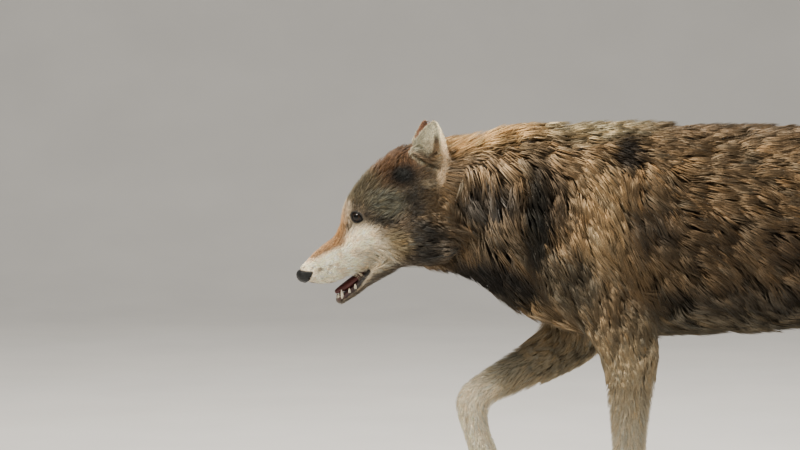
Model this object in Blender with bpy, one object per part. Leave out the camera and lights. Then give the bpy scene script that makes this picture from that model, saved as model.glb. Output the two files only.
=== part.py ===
"""Grey wolf, life size, walking with its head low, its jaws apart and its right forefoot lifted.

The outer form, out to the tips of the winter coat, is a distance field: chains of elliptical sections
for the trunk, head, tail and legs, blended into one another as muscle and fur are. Closed surfaces are
drawn from the field, finer on the head and paws, and parted by thin cuts into the animal's named parts.
Ears, eyes, tongue, teeth and claws are lofts and spheres of their own.

Metres. +Z up. The wolf faces -X and its left side is at -Y. The floor is z = 0.
Run: blender --background --python part.py
"""

import math

import bmesh
import bpy
import numpy as np
from mathutils import Matrix, Vector

# ---------------------------------------------------------------- driving dimensions

ORIGIN = Vector((0.0051, -0.0009, 0.0))  # middle of the wolf on the floor, where the sections have it

CUT_GAP = 0.0005  # width of the cut between two parts
TOUCH_GAP = 0.0004  # between shapes that touch
COARSE_STEPS = 4  # grid steps between the points of the first look at the field
FAR = 0.30  # distance given to points that no chain is near
REACH = 0.07  # how far outside its own box a chain is still measured

HEAD_YAW = math.radians(9)  # the head turns this much to the wolf's left
HEAD_PIVOT = Vector((-0.44, 0.0, 0.0))
HEAD_BLEND = 0.04  # of the head into the neck

EYE_RADIUS = 0.0125
EYE_PLACE = (-0.596, 0.0355, 0.6635)  # of one eye in the unturned head; the other is its mirror
# Root, tip, and the way that the hollow faces, as for an ear at +Y. The right one is turned forwards.
EARS = {
    "left": ((-0.489, 0.055, 0.716), (-0.471, 0.066, 0.829), (-0.40, 0.92, 0.0)),
    "right": ((-0.486, 0.055, 0.716), (-0.467, 0.064, 0.826), (-0.80, 0.60, 0.0)),
}
EAR_HALF_WIDTH = 0.037
EAR_CUP = 0.020  # how deep the ear is hollowed
EAR_THICKNESS = 0.007
EAR_TIP_ROUNDING = 12  # the higher, the blunter
EAR_ROWS = 8  # closer together towards the tip
EAR_COLUMNS = 6

# ---------------------------------------------------------------- sections of the body

# Trunk and neck, from the nape to the rump: x, top, bottom, half-width.
TRUNK = (
    (-0.470, 0.790, 0.566, 0.092),
    (-0.430, 0.800, 0.556, 0.104),
    (-0.380, 0.808, 0.546, 0.114),
    (-0.335, 0.822, 0.530, 0.120),
    (-0.290, 0.832, 0.506, 0.122),
    (-0.240, 0.828, 0.470, 0.122),
    (-0.170, 0.828, 0.448, 0.124),
    (-0.080, 0.828, 0.446, 0.128),
    (0.020, 0.823, 0.452, 0.134),
    (0.120, 0.823, 0.456, 0.134),
    (0.210, 0.822, 0.468, 0.126),
    (0.290, 0.821, 0.498, 0.112),
    (0.370, 0.816, 0.532, 0.104),
    (0.440, 0.803, 0.560, 0.098),
    (0.500, 0.780, 0.600, 0.080),
)
TRUNK_KEEL = 0.28  # how much narrower the chest is at its lowest line

# Legs, from inside the trunk down: x, distance from the middle, z, rear, front and side radius.
LEGS = {
    "foreleg_left": (
        (-0.150, 0.060, 0.730, 0.060, 0.060, 0.050),
        (-0.230, 0.080, 0.600, 0.070, 0.066, 0.054),
        (-0.150, 0.092, 0.492, 0.064, 0.060, 0.048),
        (-0.126, 0.088, 0.425, 0.051, 0.051, 0.040),
        (-0.126, 0.080, 0.340, 0.039, 0.039, 0.031),
        (-0.126, 0.072, 0.270, 0.031, 0.031, 0.027),
        (-0.126, 0.068, 0.222, 0.031, 0.032, 0.029),
        (-0.129, 0.063, 0.150, 0.024, 0.025, 0.026),
        (-0.134, 0.058, 0.090, 0.025, 0.025, 0.029),
        (-0.142, 0.056, 0.048, 0.028, 0.028, 0.033),
    ),
    "foreleg_right": (
        (-0.180, 0.060, 0.730, 0.060, 0.060, 0.050),
        (-0.250, 0.080, 0.600, 0.066, 0.064, 0.052),
        (-0.205, 0.090, 0.472, 0.062, 0.056, 0.048),
        (-0.258, 0.086, 0.412, 0.046, 0.045, 0.040),
        (-0.320, 0.080, 0.377, 0.037, 0.037, 0.031),
        (-0.370, 0.074, 0.350, 0.031, 0.031, 0.027),
        (-0.392, 0.070, 0.326, 0.031, 0.031, 0.028),
        (-0.386, 0.066, 0.280, 0.025, 0.024, 0.026),
        (-0.372, 0.064, 0.238, 0.026, 0.025, 0.029),
        (-0.366, 0.063, 0.205, 0.028, 0.026, 0.033),
    ),
    "hindleg_left": (
        (0.385, 0.045, 0.700, 0.090, 0.100, 0.070),
        (0.440, 0.062, 0.620, 0.096, 0.110, 0.064),
        (0.425, 0.078, 0.500, 0.080, 0.078, 0.054),
        (0.452, 0.084, 0.400, 0.056, 0.052, 0.042),
        (0.512, 0.080, 0.310, 0.036, 0.036, 0.030),
        (0.562, 0.075, 0.240, 0.030, 0.028, 0.024),
        (0.572, 0.070, 0.170, 0.024, 0.022, 0.022),
        (0.562, 0.066, 0.100, 0.023, 0.023, 0.026),
        (0.546, 0.064, 0.048, 0.025, 0.026, 0.031),
    ),
    "hindleg_right": (
        (0.385, 0.045, 0.700, 0.090, 0.100, 0.070),
        (0.400, 0.062, 0.620, 0.110, 0.100, 0.064),
        (0.335, 0.078, 0.505, 0.090, 0.070, 0.054),
        (0.318, 0.084, 0.410, 0.062, 0.050, 0.042),
        (0.345, 0.080, 0.305, 0.038, 0.036, 0.030),
        (0.370, 0.075, 0.222, 0.032, 0.028, 0.024),
        (0.346, 0.070, 0.155, 0.024, 0.023, 0.022),
        (0.318, 0.066, 0.095, 0.023, 0.023, 0.026),
        (0.296, 0.064, 0.048, 0.025, 0.026, 0.031),
    ),
}
SIDE = {"left": -1, "right": 1}
LEG_BLEND = {"foreleg": 0.045, "hindleg": 0.050}

# Paws: the place of the joint over the sole, how far the toes are turned down, and size.
PAWS = {
    "paw_front_left": ((-0.145, -0.056, 0.0), 0.0, 1.0),
    "paw_front_right": ((-0.372, 0.063, 0.160), math.radians(75), 1.0),
    "paw_hind_left": ((0.543, -0.064, 0.0), 0.0, 0.94),
    "paw_hind_right": ((0.293, 0.064, 0.0), 0.0, 0.94),
}
PAW_JOINT_HEIGHT = 0.030  # of the axis that a paw turns on
PAW_BLEND = 0.008
TOES = ((-0.029, 0.000), (-0.0105, 0.012), (0.0105, 0.012), (0.029, 0.000))  # sideways, extra length
# A toe: forward, share of its sideways place, height, radius.
TOE = ((-0.004, 0.75, 0.038, 0.0170), (0.026, 1.00, 0.035, 0.0165), (0.050, 1.06, 0.0130, 0.0140))
# The pad and the foot over it: forward, height, radius, side radius.
PAD = ((0.022, 0.0130, 0.0145, 0.024), (-0.012, 0.0130, 0.0145, 0.025))
FOOT = ((0.024, 0.026, 0.016, 0.026), (-0.014, 0.034, 0.020, 0.026))
# A claw: forward of the last toe joint, height, radius.
CLAW = ((-0.002, 0.0170, 0.0042), (0.013, 0.0175, 0.0038), (0.022, 0.0130, 0.0024), (0.027, 0.0075, 0.0006))
CLAW_SIDES = 5

# Tail: x, z, radius.
TAIL = (
    (0.480, 0.745, 0.042),
    (0.555, 0.730, 0.045),
    (0.605, 0.655, 0.052),
    (0.632, 0.555, 0.060),
    (0.650, 0.455, 0.056),
    (0.660, 0.385, 0.038),
    (0.664, 0.335, 0.008),
)

# Head before it is turned, from front to back: x, y, z, upper, lower and side radius.
SKULL = (
    (-0.600, 0, 0.630, 0.018, 0.046, 0.034),
    (-0.576, 0, 0.650, 0.050, 0.060, 0.046),
    (-0.545, 0, 0.670, 0.074, 0.078, 0.058),
    (-0.505, 0, 0.690, 0.085, 0.090, 0.066),
    (-0.460, 0, 0.700, 0.084, 0.092, 0.072),
)
MUZZLE = (
    (-0.689, 0, 0.5625, 0.010, 0.010, 0.015),
    (-0.680, 0, 0.5650, 0.0165, 0.016, 0.021),
    (-0.661, 0, 0.5720, 0.0255, 0.0255, 0.028),
    (-0.642, 0, 0.5800, 0.034, 0.035, 0.032),
    (-0.617, 0, 0.5970, 0.035, 0.040, 0.036),
    (-0.592, 0, 0.6140, 0.034, 0.045, 0.042),
)
JAW = (
    (-0.624, 0, 0.5175, 0.009, 0.0085, 0.016),
    (-0.602, 0, 0.5360, 0.013, 0.013, 0.022),
    (-0.578, 0, 0.5590, 0.018, 0.018, 0.032),
    (-0.548, 0, 0.5870, 0.026, 0.030, 0.048),
)
BROW = (
    (-0.594, 0.024, 0.672, 0.016, 0.016, 0.017),
    (-0.578, 0.036, 0.690, 0.020, 0.020, 0.018),
    (-0.552, 0.044, 0.694, 0.016, 0.016, 0.014),
)
CHEEK = (
    (-0.588, 0.034, 0.624, 0.018, 0.024, 0.016),
    (-0.545, 0.052, 0.634, 0.028, 0.036, 0.022),
    (-0.500, 0.068, 0.646, 0.040, 0.050, 0.028),
)
ORBIT = (-0.600, 0.0720, 0.6625, 0.026)  # a ball that hollows the head where the eye sits: place, radius
ORBIT_BLEND = 0.012
RUFF = (
    (-0.520, 0.055, 0.620, 0.040, 0.040, 0.030),
    (-0.475, 0.080, 0.640, 0.060, 0.060, 0.036),
)
TONGUE = (
    (-0.631, 0, 0.5335, 0.0045, 0.0045, 0.0055),
    (-0.614, 0, 0.5425, 0.0085, 0.0085, 0.0110),
    (-0.599, 0, 0.5535, 0.0080, 0.0080, 0.0145),
    (-0.580, 0, 0.5680, 0.0065, 0.0065, 0.0140),
)
TONGUE_SIDES = 12

# Lower teeth, on both sides: x and distance from the middle at the gum, z there, length, radius. The upper
# ones stay behind the lip.
LOWER_TEETH = (
    (-0.6290, 0.0030, 0.522, 0.0045, 0.0018),
    (-0.6275, 0.0070, 0.523, 0.0050, 0.0020),
    (-0.6220, 0.0115, 0.524, 0.0130, 0.0030),
    (-0.6100, 0.0155, 0.533, 0.0060, 0.0024),
    (-0.6000, 0.0175, 0.540, 0.0065, 0.0028),
)
TOOTH = ((-0.35, 1.0), (0.25, 1.0), (0.75, 0.6), (1.0, 0.15))  # share of the length, of the radius
TOOTH_LEAN = 0.10  # forwards and outwards, for each unit of length
TOOTH_SIDES = 5

# ---------------------------------------------------------------- outlines of the cuts, x and z

MOUTH = (
    (-0.583, 0.569),
    (-0.592, 0.561),
    (-0.604, 0.553),
    (-0.624, 0.546),
    (-0.720, 0.530),
    (-0.720, 0.480),
    (-0.645, 0.519),
    (-0.620, 0.528),
    (-0.600, 0.545),
)
NOSE = ((-0.720, 0.5735), (-0.6745, 0.5680), (-0.6745, 0.540), (-0.720, 0.520))
JAW_REGION = ((-0.660, 0.480), (-0.660, 0.533), (-0.583, 0.5685), (-0.535, 0.590), (-0.515, 0.480))
HEAD_REGION = (
    (-0.760, 0.900),
    (-0.420, 0.900),
    (-0.428, 0.800),
    (-0.508, 0.560),
    (-0.530, 0.440),
    (-0.760, 0.440),
)
NECK_REGION = ((-0.760, 0.900), (-0.325, 0.900), (-0.345, 0.470), (-0.760, 0.470))
TAIL_REGION = ((0.530, 0.860), (0.760, 0.860), (0.760, 0.300), (0.585, 0.300), (0.565, 0.640))
LEG_REGIONS = {
    "foreleg_left": (
        (-0.280, 0.580),
        (-0.200, 0.640),
        (-0.110, 0.620),
        (-0.030, 0.480),
        (-0.060, -0.050),
        (-0.260, -0.050),
    ),
    "foreleg_right": (
        (-0.330, 0.600),
        (-0.200, 0.640),
        (-0.110, 0.600),
        (-0.105, 0.440),
        (-0.280, 0.040),
        (-0.480, 0.040),
        (-0.480, 0.320),
    ),
    "hindleg_left": (
        (0.300, 0.560),
        (0.380, 0.690),
        (0.500, 0.690),
        (0.570, 0.600),
        (0.640, -0.050),
        (0.420, -0.050),
    ),
    "hindleg_right": (
        (0.236, 0.520),
        (0.380, 0.690),
        (0.500, 0.690),
        (0.560, 0.600),
        (0.450, -0.050),
        (0.150, -0.050),
    ),
}
LEG_INNER_FACE = (0.002, 0.075)  # distance of the cut from the middle at the floor, and its slope
PAW_CUTS = {  # where each paw is cut from its leg
    "paw_front_left": 0.088,
    "paw_front_right": 0.232,
    "paw_hind_left": 0.082,
    "paw_hind_right": 0.082,
}
PAW_REACH = 0.115  # half the length of a paw's region
PAW_DEPTH = 0.170  # its height, unless the floor is nearer
PAW_HALF_WIDTH = 0.075
HEAD_TRIANGLES = 2100
BODY_TRIANGLES = 2500
PAW_TRIANGLES = 330

COATS = {"thick": (0.36, 0.29, 0.20), "pale": (0.52, 0.47, 0.37), "brown": (0.30, 0.19, 0.11)}
COAT_OF = {"ear_left": "brown", "ear_right": "brown", "lower_jaw": "pale"}
COAT_OF.update({paw: "pale" for paw in PAWS})


# ---------------------------------------------------------------- the distance field


class Chain:
    """A run of elliptical sections: x, y, z, upper or rear radius, lower or front radius, side radius."""

    def __init__(self, sections, parts=6, power=2.0, keel=0.0):
        self.rows = smoothed(sections, parts)
        self.power = power
        self.keel = keel
        widest = self.rows[:, 3:].max()
        self.low = self.rows[:, :3].min(0) - widest - REACH
        self.high = self.rows[:, :3].max(0) + widest + REACH

    def distance(self, points):
        out = np.full(len(points), FAR)
        near = ((points > self.low) & (points < self.high)).all(1)
        best = np.full(near.sum(), FAR)
        for first, second in zip(self.rows, self.rows[1:]):
            best = np.minimum(best, self.span_distance(points[near], first, second))
        out[near] = best
        return out

    def span_distance(self, points, first, second):
        run = second[:3] - first[:3]
        length = np.linalg.norm(run)
        tangent = run / length
        upward = across(tangent)
        offset = points - first[:3]
        along = offset @ tangent
        t = np.clip(along / length, 0, 1)
        past = along - t * length
        up = offset @ upward
        side = offset @ np.cross(upward, tangent)
        radii = first[3:] + (second[3:] - first[3:]) * t[:, None]
        radius = np.where(up > 0, radii[:, 0], radii[:, 1])
        side_radius = radii[:, 2] * (1 - self.keel * np.clip(-up / radius, 0, 1) ** 2)
        end_radius = np.minimum(radius, side_radius)
        rounded = (np.abs(up) / radius) ** self.power + (np.abs(side) / side_radius) ** self.power
        share = np.sqrt(np.maximum(rounded ** (2 / self.power) + (past / end_radius) ** 2, 1e-6))
        size = np.sqrt(up**2 + side**2 + past**2)
        return np.where(share > 0.05, size * (1 - 1 / share), -end_radius)


def smoothed(sections, parts):
    """Catmull-Rom rows through the given ones, which splits each span into so many parts."""
    rows = np.array(sections, float)
    ends = np.vstack([2 * rows[0] - rows[1], rows, 2 * rows[-1] - rows[-2]])
    t = (np.arange(parts) / parts)[:, None]
    spans = []
    for a, b, c, d in zip(ends, ends[1:], ends[2:], ends[3:]):
        cubic = 3 * b - a - 3 * c + d
        spans.append(b + 0.5 * ((c - a) * t + (2 * a - 5 * b + 4 * c - d) * t**2 + cubic * t**3))
    return np.vstack([*spans, rows[-1:]])


def across(tangent):
    """The direction in a section that its upper or rear radius is measured along."""
    upward = np.cross(tangent, (0, 1, 0))
    return upward / np.linalg.norm(upward)


def joined(a, b, blend):
    """The smaller of two distances, with a fillet of that size between the shapes."""
    overlap = np.maximum(blend - np.abs(a - b), 0) / blend
    return np.minimum(a, b) - overlap**2 * blend / 4


def mirrored(sections, side):
    return [(x, y * side, z, *radii) for x, y, z, *radii in sections]


def trunk_chain():
    sections = []
    for x, top, bottom, width in TRUNK:
        half = (top - bottom) / 2
        sections.append((x, 0, bottom + half, half, half, width))
    return Chain(sections, parts=4, keel=TRUNK_KEEL)


def paw_matrix(paw):
    """From a paw's own frame, with its sole on z = 0 and its toes towards -X, to its place."""
    joint, turn, size = PAWS[paw]
    axis = Matrix.Translation((0, 0, PAW_JOINT_HEIGHT))
    turned = axis @ Matrix.Rotation(-turn, 4, "Y") @ axis.inverted()
    return Matrix.Translation(joint) @ turned @ Matrix.Scale(size, 4)


def paw_chain(paw, rows, parts):
    """rows: forward, sideways, height, upper and side radius, all in the paw's own frame."""
    matrix, size = paw_matrix(paw), PAWS[paw][2]
    sections = []
    for forward, sideways, height, radius, side in rows:
        place = matrix @ Vector((-forward, sideways, height))
        sections.append((*place, radius * size, radius * size, side * size))
    return Chain(sections, parts)


def paw_chains(paw):
    for sideways, longer in TOES:
        rows = []
        for row, (forward, share, height, radius) in enumerate(TOE):
            rows.append((forward + longer * min(row, 1), sideways * share, height, radius, radius))
        yield paw_chain(paw, rows, 3)
    for flat in (PAD, FOOT):
        yield paw_chain(paw, [(forward, 0, height, r, side) for forward, height, r, side in flat], 2)


def body_chains():
    """Every chain of the body but the head's, with the blend that joins it to those before it."""
    yield trunk_chain(), 0.01
    yield Chain([(x, 0, z, r, r, r) for x, z, r in TAIL]), 0.03
    for name, sections in LEGS.items():
        kind, side = name.split("_")
        yield Chain(mirrored(sections, SIDE[side])), LEG_BLEND[kind]
    for paw in PAWS:
        for chain in paw_chains(paw):
            yield chain, PAW_BLEND


def head_chains():
    yield Chain(SKULL, power=2.2), 0.01
    yield Chain(MUZZLE, power=2.4), 0.022
    for side in SIDE.values():
        yield Chain(mirrored(CHEEK, side)), 0.03
        yield Chain(mirrored(BROW, side)), 0.022
        yield Chain(mirrored(RUFF, side)), 0.04
    yield Chain(JAW, power=2.2), 0.016


def hollowed(distance, points):
    """The head's distance with a dish round each eye."""
    x, y, z, radius = ORBIT
    for side in SIDE.values():
        ball = np.linalg.norm(points - (x, y * side, z), axis=1) - radius
        distance = -joined(-distance, ball, ORBIT_BLEND)
    return distance


def head_turn(angle=HEAD_YAW):
    return Matrix.Translation(HEAD_PIVOT) @ Matrix.Rotation(angle, 4, "Z") @ Matrix.Translation(-HEAD_PIVOT)


def chains_distance(chains, points):
    total = np.full(len(points), FAR)
    for chain, blend in chains:
        total = joined(total, chain.distance(points), blend)
    return total


def wolf_field():
    """The function that gives the distance of points, as rows, to the coat's surface."""
    body, head = list(body_chains()), list(head_chains())
    back = np.array(head_turn(-HEAD_YAW))

    def field(points):
        unturned = points @ back[:3, :3].T + back[:3, 3]
        face = hollowed(chains_distance(head, unturned), unturned)
        return joined(chains_distance(body, points), face, HEAD_BLEND)

    return field


# ---------------------------------------------------------------- from field to mesh


def within_box(field, low, high):
    """The field, cut off at the sides of a box."""

    def limited(points):
        outside = np.maximum(low - points, points - high).max(1)
        return np.maximum(field(points), outside)

    return limited


def sampled(field, corner, counts, cell):
    """The field at the points of a grid, measured exactly only near the surface."""
    step = cell * COARSE_STEPS
    rough = field(corner + np.indices(counts + 1).reshape(3, -1).T * step).reshape(counts + 1)
    values = rough
    for axis in range(3):
        values = np.repeat(values, COARSE_STEPS, axis)
    half = COARSE_STEPS // 2
    values = values[half : 1 - half, half : 1 - half, half : 1 - half].copy()
    near = np.argwhere(np.abs(values) < 1.6 * step)
    values[tuple(near.T)] = field(corner + near * cell)
    return values


def fill_pinches(values, fill):
    """Fills grid points where two sheets of the surface would meet along an edge."""
    pinched = True
    while pinched:
        pinched = False
        for axis in range(3):
            flat = np.moveaxis(values, axis, 0)
            a, b, c, d = flat[:, :-1, :-1], flat[:, 1:, :-1], flat[:, 1:, 1:], flat[:, :-1, 1:]
            for p, q, r, s in ((a, b, c, d), (b, c, d, a)):
                bad = (p < 0) & (r < 0) & (q >= 0) & (s >= 0)
                q[bad] = -fill
                pinched |= bool(bad.any())


def surface_net(values):
    """Points, in grid steps, and quads of the zero surface: one point for each grid cell it crosses."""
    inside = values < 0
    cells = tuple(n - 1 for n in values.shape)
    offsets = [np.array(corner) for corner in np.ndindex(2, 2, 2)]
    filled = sum(inside[tuple(slice(o, o + n) for o, n in zip(c, cells))].astype(int) for c in offsets)
    active = np.argwhere((filled > 0) & (filled < 8))
    total, crossings = np.zeros((len(active), 3)), np.zeros((len(active), 1))
    for a in offsets:
        for b in offsets:
            if (b - a).min() < 0 or (b - a).sum() != 1:
                continue
            value_a, value_b = values[tuple((active + a).T)], values[tuple((active + b).T)]
            crossed = (value_a < 0) != (value_b < 0)
            t = np.where(crossed, value_a / np.where(crossed, value_a - value_b, 1), 0)[:, None]
            total += (a + t * (b - a)) * crossed[:, None]
            crossings += crossed[:, None]
    number = np.full(cells, -1)
    number[tuple(active.T)] = np.arange(len(active))
    quads = []
    unit = np.eye(3, dtype=int)
    for axis in range(3):
        one, two = unit[(axis + 1) % 3], unit[(axis + 2) % 3]
        here = inside[tuple(slice(0, n - s) for n, s in zip(inside.shape, unit[axis]))]
        there = inside[tuple(slice(s, None) for s in unit[axis])]
        for leaving in (True, False):
            found = np.argwhere((here != there) & (here == leaving))
            ring = [number[tuple(place.T)] for place in (found, found - one, found - one - two, found - two)]
            quads.append(np.stack(ring if leaving else ring[::-1], 1))
    return active + total / crossings, np.vstack(quads)


def settled(field, points, reach):
    """The points moved onto the zero surface itself."""
    for _ in range(2):
        value = field(points)
        slope = np.stack([field(points + reach * axis) - value for axis in np.eye(3)], 1) / reach
        points = points - slope * (value / np.maximum((slope**2).sum(1), 0.3))[:, None]
    return points


def drawn(name, field, low, high, cell, triangles):
    """What the field holds in a box, as one closed mesh thinned to so many triangles."""
    corner = np.array(low, float)
    counts = np.ceil((np.array(high) - corner) / (cell * COARSE_STEPS)).astype(int)
    top = corner + (counts * COARSE_STEPS - 2) * cell
    limited = within_box(field, corner + 2 * cell, top)
    values = sampled(limited, corner, counts, cell)
    fill_pinches(values, cell / 10)
    points, quads = surface_net(values)
    points = settled(limited, corner + points * cell, cell / 5)
    obj = mesh_object(name, points, quads)
    thin = obj.modifiers.new("thin", "DECIMATE")
    thin.ratio = triangles / (2 * len(quads))
    thin.use_collapse_triangulate = True
    apply_modifiers(obj)
    return obj


# ---------------------------------------------------------------- objects and cuts


def mesh_object(name, points, faces):
    mesh = bpy.data.meshes.new(name)
    mesh.from_pydata([tuple(p) for p in points], [], [tuple(f) for f in faces])
    obj = bpy.data.objects.new(name, mesh)
    bpy.context.scene.collection.objects.link(obj)
    return obj


def copied(obj, name):
    copy = obj.copy()
    copy.data = obj.data.copy()
    copy.name = name
    bpy.context.scene.collection.objects.link(copy)
    return copy


def apply_modifiers(obj):
    bpy.context.view_layer.update()
    made = bpy.data.meshes.new_from_object(obj.evaluated_get(bpy.context.evaluated_depsgraph_get()))
    old = obj.data
    obj.modifiers.clear()
    obj.data = made
    bpy.data.meshes.remove(old)


def combine(obj, other, operation):
    """Boolean with another object, which is used up."""
    boolean = obj.modifiers.new(operation.lower(), "BOOLEAN")
    boolean.operation = operation
    boolean.object = other
    boolean.solver = "EXACT"
    apply_modifiers(obj)
    bpy.data.objects.remove(other)


def loft(name, rings):
    """A closed solid through rings of as many points each, counterclockwise seen from the last."""
    count = len(rings[0])
    faces = [tuple(range(count))[::-1], tuple(range((len(rings) - 1) * count, len(rings) * count))]
    for row in range(len(rings) - 1):
        for i in range(count):
            j = (i + 1) % count
            a, b = row * count, (row + 1) * count
            faces.append((a + i, a + j, b + j, b + i))
    return mesh_object(name, [point for ring in rings for point in ring], faces)


def tube(name, sections, sides):
    """A closed tube through elliptical sections: x, y, z, upper, lower and side radius."""
    rows = np.array(sections, float)
    runs = np.gradient(rows[:, :3], axis=0)
    rings = []
    for row, run in zip(rows, runs):
        tangent = run / np.linalg.norm(run)
        upward = across(tangent)
        sideways = np.cross(tangent, upward)
        ring = []
        for i in range(sides):
            angle = math.tau * i / sides
            up = math.cos(angle)
            height = up * (row[3] if up > 0 else row[4])
            ring.append(row[:3] + upward * height + sideways * math.sin(angle) * row[5])
        rings.append(ring)
    return loft(name, rings)


def region(outline, low_y, high_y, slope=0.0, turn=None):
    """A prism on an x, z outline between two values of y. The side nearer the middle leans by the slope."""
    rings = []
    for y in (low_y, high_y):
        inner = abs(y) == min(abs(low_y), abs(high_y))
        lean = math.copysign(slope, low_y + high_y) if inner else 0
        rings.append([(x, y + lean * z, z) for x, z in outline])
    prism = loft("region", rings)
    facing = bmesh.new()
    facing.from_mesh(prism.data)
    bmesh.ops.recalc_face_normals(facing, faces=facing.faces)
    facing.to_mesh(prism.data)
    facing.free()
    if turn:
        prism.data.transform(turn)
    prism.hide_render = True
    prism.display_type = "WIRE"
    return prism


def grown(outline, by):
    """A convex outline moved outwards."""
    points = [Vector(p) for p in outline]
    middle = sum(points, Vector((0, 0))) / len(points)
    lines = []
    for a, b in zip(points, points[1:] + points[:1]):
        run = b - a
        normal = Vector((run.y, -run.x)).normalized()
        if normal.dot(a - middle) < 0:
            normal.negate()
        lines.append((a + normal * by, run))
    corners = []
    for (p, r), (q, s) in zip(lines[-1:] + lines[:-1], lines):
        corners.append(tuple(p + r * ((q - p).cross(s) / r.cross(s))))
    return corners


def split_off(name, whole, outline, source=None, side=0, turn=None):
    """Cuts a region out of the whole, and makes it an object of its own from the source, a gap apart."""
    low, high = (-0.5, 0.5) if side == 0 else sorted((LEG_INNER_FACE[0] * side, 0.5 * side))
    slope = LEG_INNER_FACE[1] if side else 0
    piece = source or copied(whole, name)
    piece.name = name
    combine(piece, region(outline, low, high, slope, turn), "INTERSECT")
    if side < 0:
        high += CUT_GAP
    elif side > 0:
        low -= CUT_GAP
    combine(whole, region(grown(outline, CUT_GAP), low, high, slope, turn), "DIFFERENCE")
    return piece


def keep_largest(obj):
    """Drops the crumbs that a cut leaves, where the surface only grazes it."""
    shape = bmesh.new()
    shape.from_mesh(obj.data)
    unseen, bodies = set(shape.verts), []
    while unseen:
        body, edge = set(), [unseen.pop()]
        while edge:
            vertex = edge.pop()
            body.add(vertex)
            linked = {e.other_vert(vertex) for e in vertex.link_edges} & unseen
            unseen -= linked
            edge.extend(linked)
        bodies.append(body)
    largest = max(bodies, key=len)
    bmesh.ops.delete(shape, geom=[v for v in shape.verts if v not in largest], context="VERTS")
    shape.to_mesh(obj.data)
    shape.free()


def swollen(obj, by):
    """A cutter with the shape of an object, grown outwards."""
    cutter = copied(obj, obj.name + "_room")
    grow = cutter.modifiers.new("grow", "DISPLACE")
    grow.strength = by
    grow.mid_level = 0
    apply_modifiers(cutter)
    return cutter


# ---------------------------------------------------------------- parts of the wolf


def head_and_jaw(field, body):
    """Head, lower jaw and nose leather, from a surface finer than the body's."""
    head = drawn("head", field, (-0.74, -0.20, 0.42), (-0.34, 0.16, 0.88), 0.004, HEAD_TRIANGLES)
    turn = head_turn()
    combine(head, region(MOUTH, -0.2, 0.2, turn=turn), "DIFFERENCE")
    head = split_off("head", body, HEAD_REGION, source=head, turn=turn)
    nose = split_off("nose", head, NOSE, turn=turn)
    jaw = split_off("lower_jaw", head, JAW_REGION, turn=turn)
    return head, jaw, nose


def eye(side_name, head):
    """An eyeball, and the socket for it in the head."""
    x, y, z = EYE_PLACE
    place = head_turn() @ Vector((x, y * SIDE[side_name], z))
    for name, radius in (("socket", EYE_RADIUS + TOUCH_GAP), ("eye_" + side_name, EYE_RADIUS)):
        ball = bmesh.new()
        bmesh.ops.create_icosphere(ball, subdivisions=2, radius=radius, matrix=Matrix.Translation(place))
        obj = mesh_object(name, [], [])
        ball.to_mesh(obj.data)
        ball.free()
        if name == "socket":
            combine(head, obj, "DIFFERENCE")
    return obj


def ear_ring(height, side_name):
    """A C-shaped ring of the ear, at a share of its height: round its back, then round its hollow."""
    root, tip, faces = map(Vector, EARS[side_name])
    up = (tip - root).normalized()
    opens = (faces - up * faces.dot(up)).normalized()
    across_ear = up.cross(opens)
    leaf = math.sin(math.pi * (0.30 + 0.62 * height)) * math.sqrt(1.02 - height**EAR_TIP_ROUNDING)
    middle = root.lerp(tip, height)
    ring = []
    for back in (True, False):
        for i in range(EAR_COLUMNS + 1):
            u = (2 * i / EAR_COLUMNS - 1) * (1 if back else -1)
            depth = EAR_CUP * leaf * (1 - u * u) * (1.15 - 0.6 * height)
            thick = EAR_THICKNESS * (0.5 if back else -0.5) * (1 - 0.45 * height)
            point = middle + across_ear * (u * EAR_HALF_WIDTH * leaf) - opens * (depth + thick)
            ring.append((point.x, point.y * SIDE[side_name], point.z))
    return ring


def ear(side_name, head):
    rings = [ear_ring(1 - (1 - row / EAR_ROWS) ** 1.5, side_name) for row in range(EAR_ROWS + 1)]
    if SIDE[side_name] > 0:
        rings = [ring[::-1] for ring in rings]
    obj = loft("ear_" + side_name, rings)
    obj.data.transform(head_turn())
    combine(obj, swollen(head, TOUCH_GAP), "DIFFERENCE")
    return obj


def add_teeth(holder, teeth):
    """Cones with rounded tips, leaning out a little, joined to the jaw that they grow from."""
    for x, y, z, length, radius in teeth:
        for side in SIDE.values():
            sections = []
            for share, width in TOOTH:
                lean = TOOTH_LEAN * abs(length) * share
                place = (x - lean, side * (y + lean), z + length * share)
                sections.append((*place, *[radius * width] * 3))
            tooth = tube("tooth", sections, TOOTH_SIDES)
            tooth.data.transform(head_turn())
            combine(holder, tooth, "UNION")


def tongue(jaw, head):
    obj = tube("tongue", smoothed(TONGUE, 3), TONGUE_SIDES)
    obj.data.transform(head_turn())
    for holder in (jaw, head):
        combine(holder, swollen(obj, TOUCH_GAP), "DIFFERENCE")
    return obj


def paw(name, field, body):
    """A paw from a surface finer than the leg's, cut from it and from the floor on level planes."""
    (x, y, _), cut = PAWS[name][0], PAW_CUTS[name]
    left, right, bottom = x - PAW_REACH, x + PAW_REACH, max(cut - PAW_DEPTH, 0)
    low, high = (left, y - PAW_HALF_WIDTH, bottom - 0.03), (right, y + PAW_HALF_WIDTH, cut + 0.03)
    source = drawn(name, field, low, high, 0.004, PAW_TRIANGLES)
    outline = ((left, bottom), (left, cut), (right, cut), (right, bottom))
    obj = split_off(name, body, outline, source=source)
    add_claws(obj, name)
    return obj


def add_claws(obj, paw):
    matrix = paw_matrix(paw)
    for sideways, longer in TOES:
        end = TOE[-1][0] + longer
        rows = [(-(end + f), sideways * TOE[-1][1], height, r, r, r) for f, height, r in CLAW]
        claw = tube("claw", rows[::-1], CLAW_SIDES)
        claw.data.transform(matrix)
        combine(obj, claw, "UNION")


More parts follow.
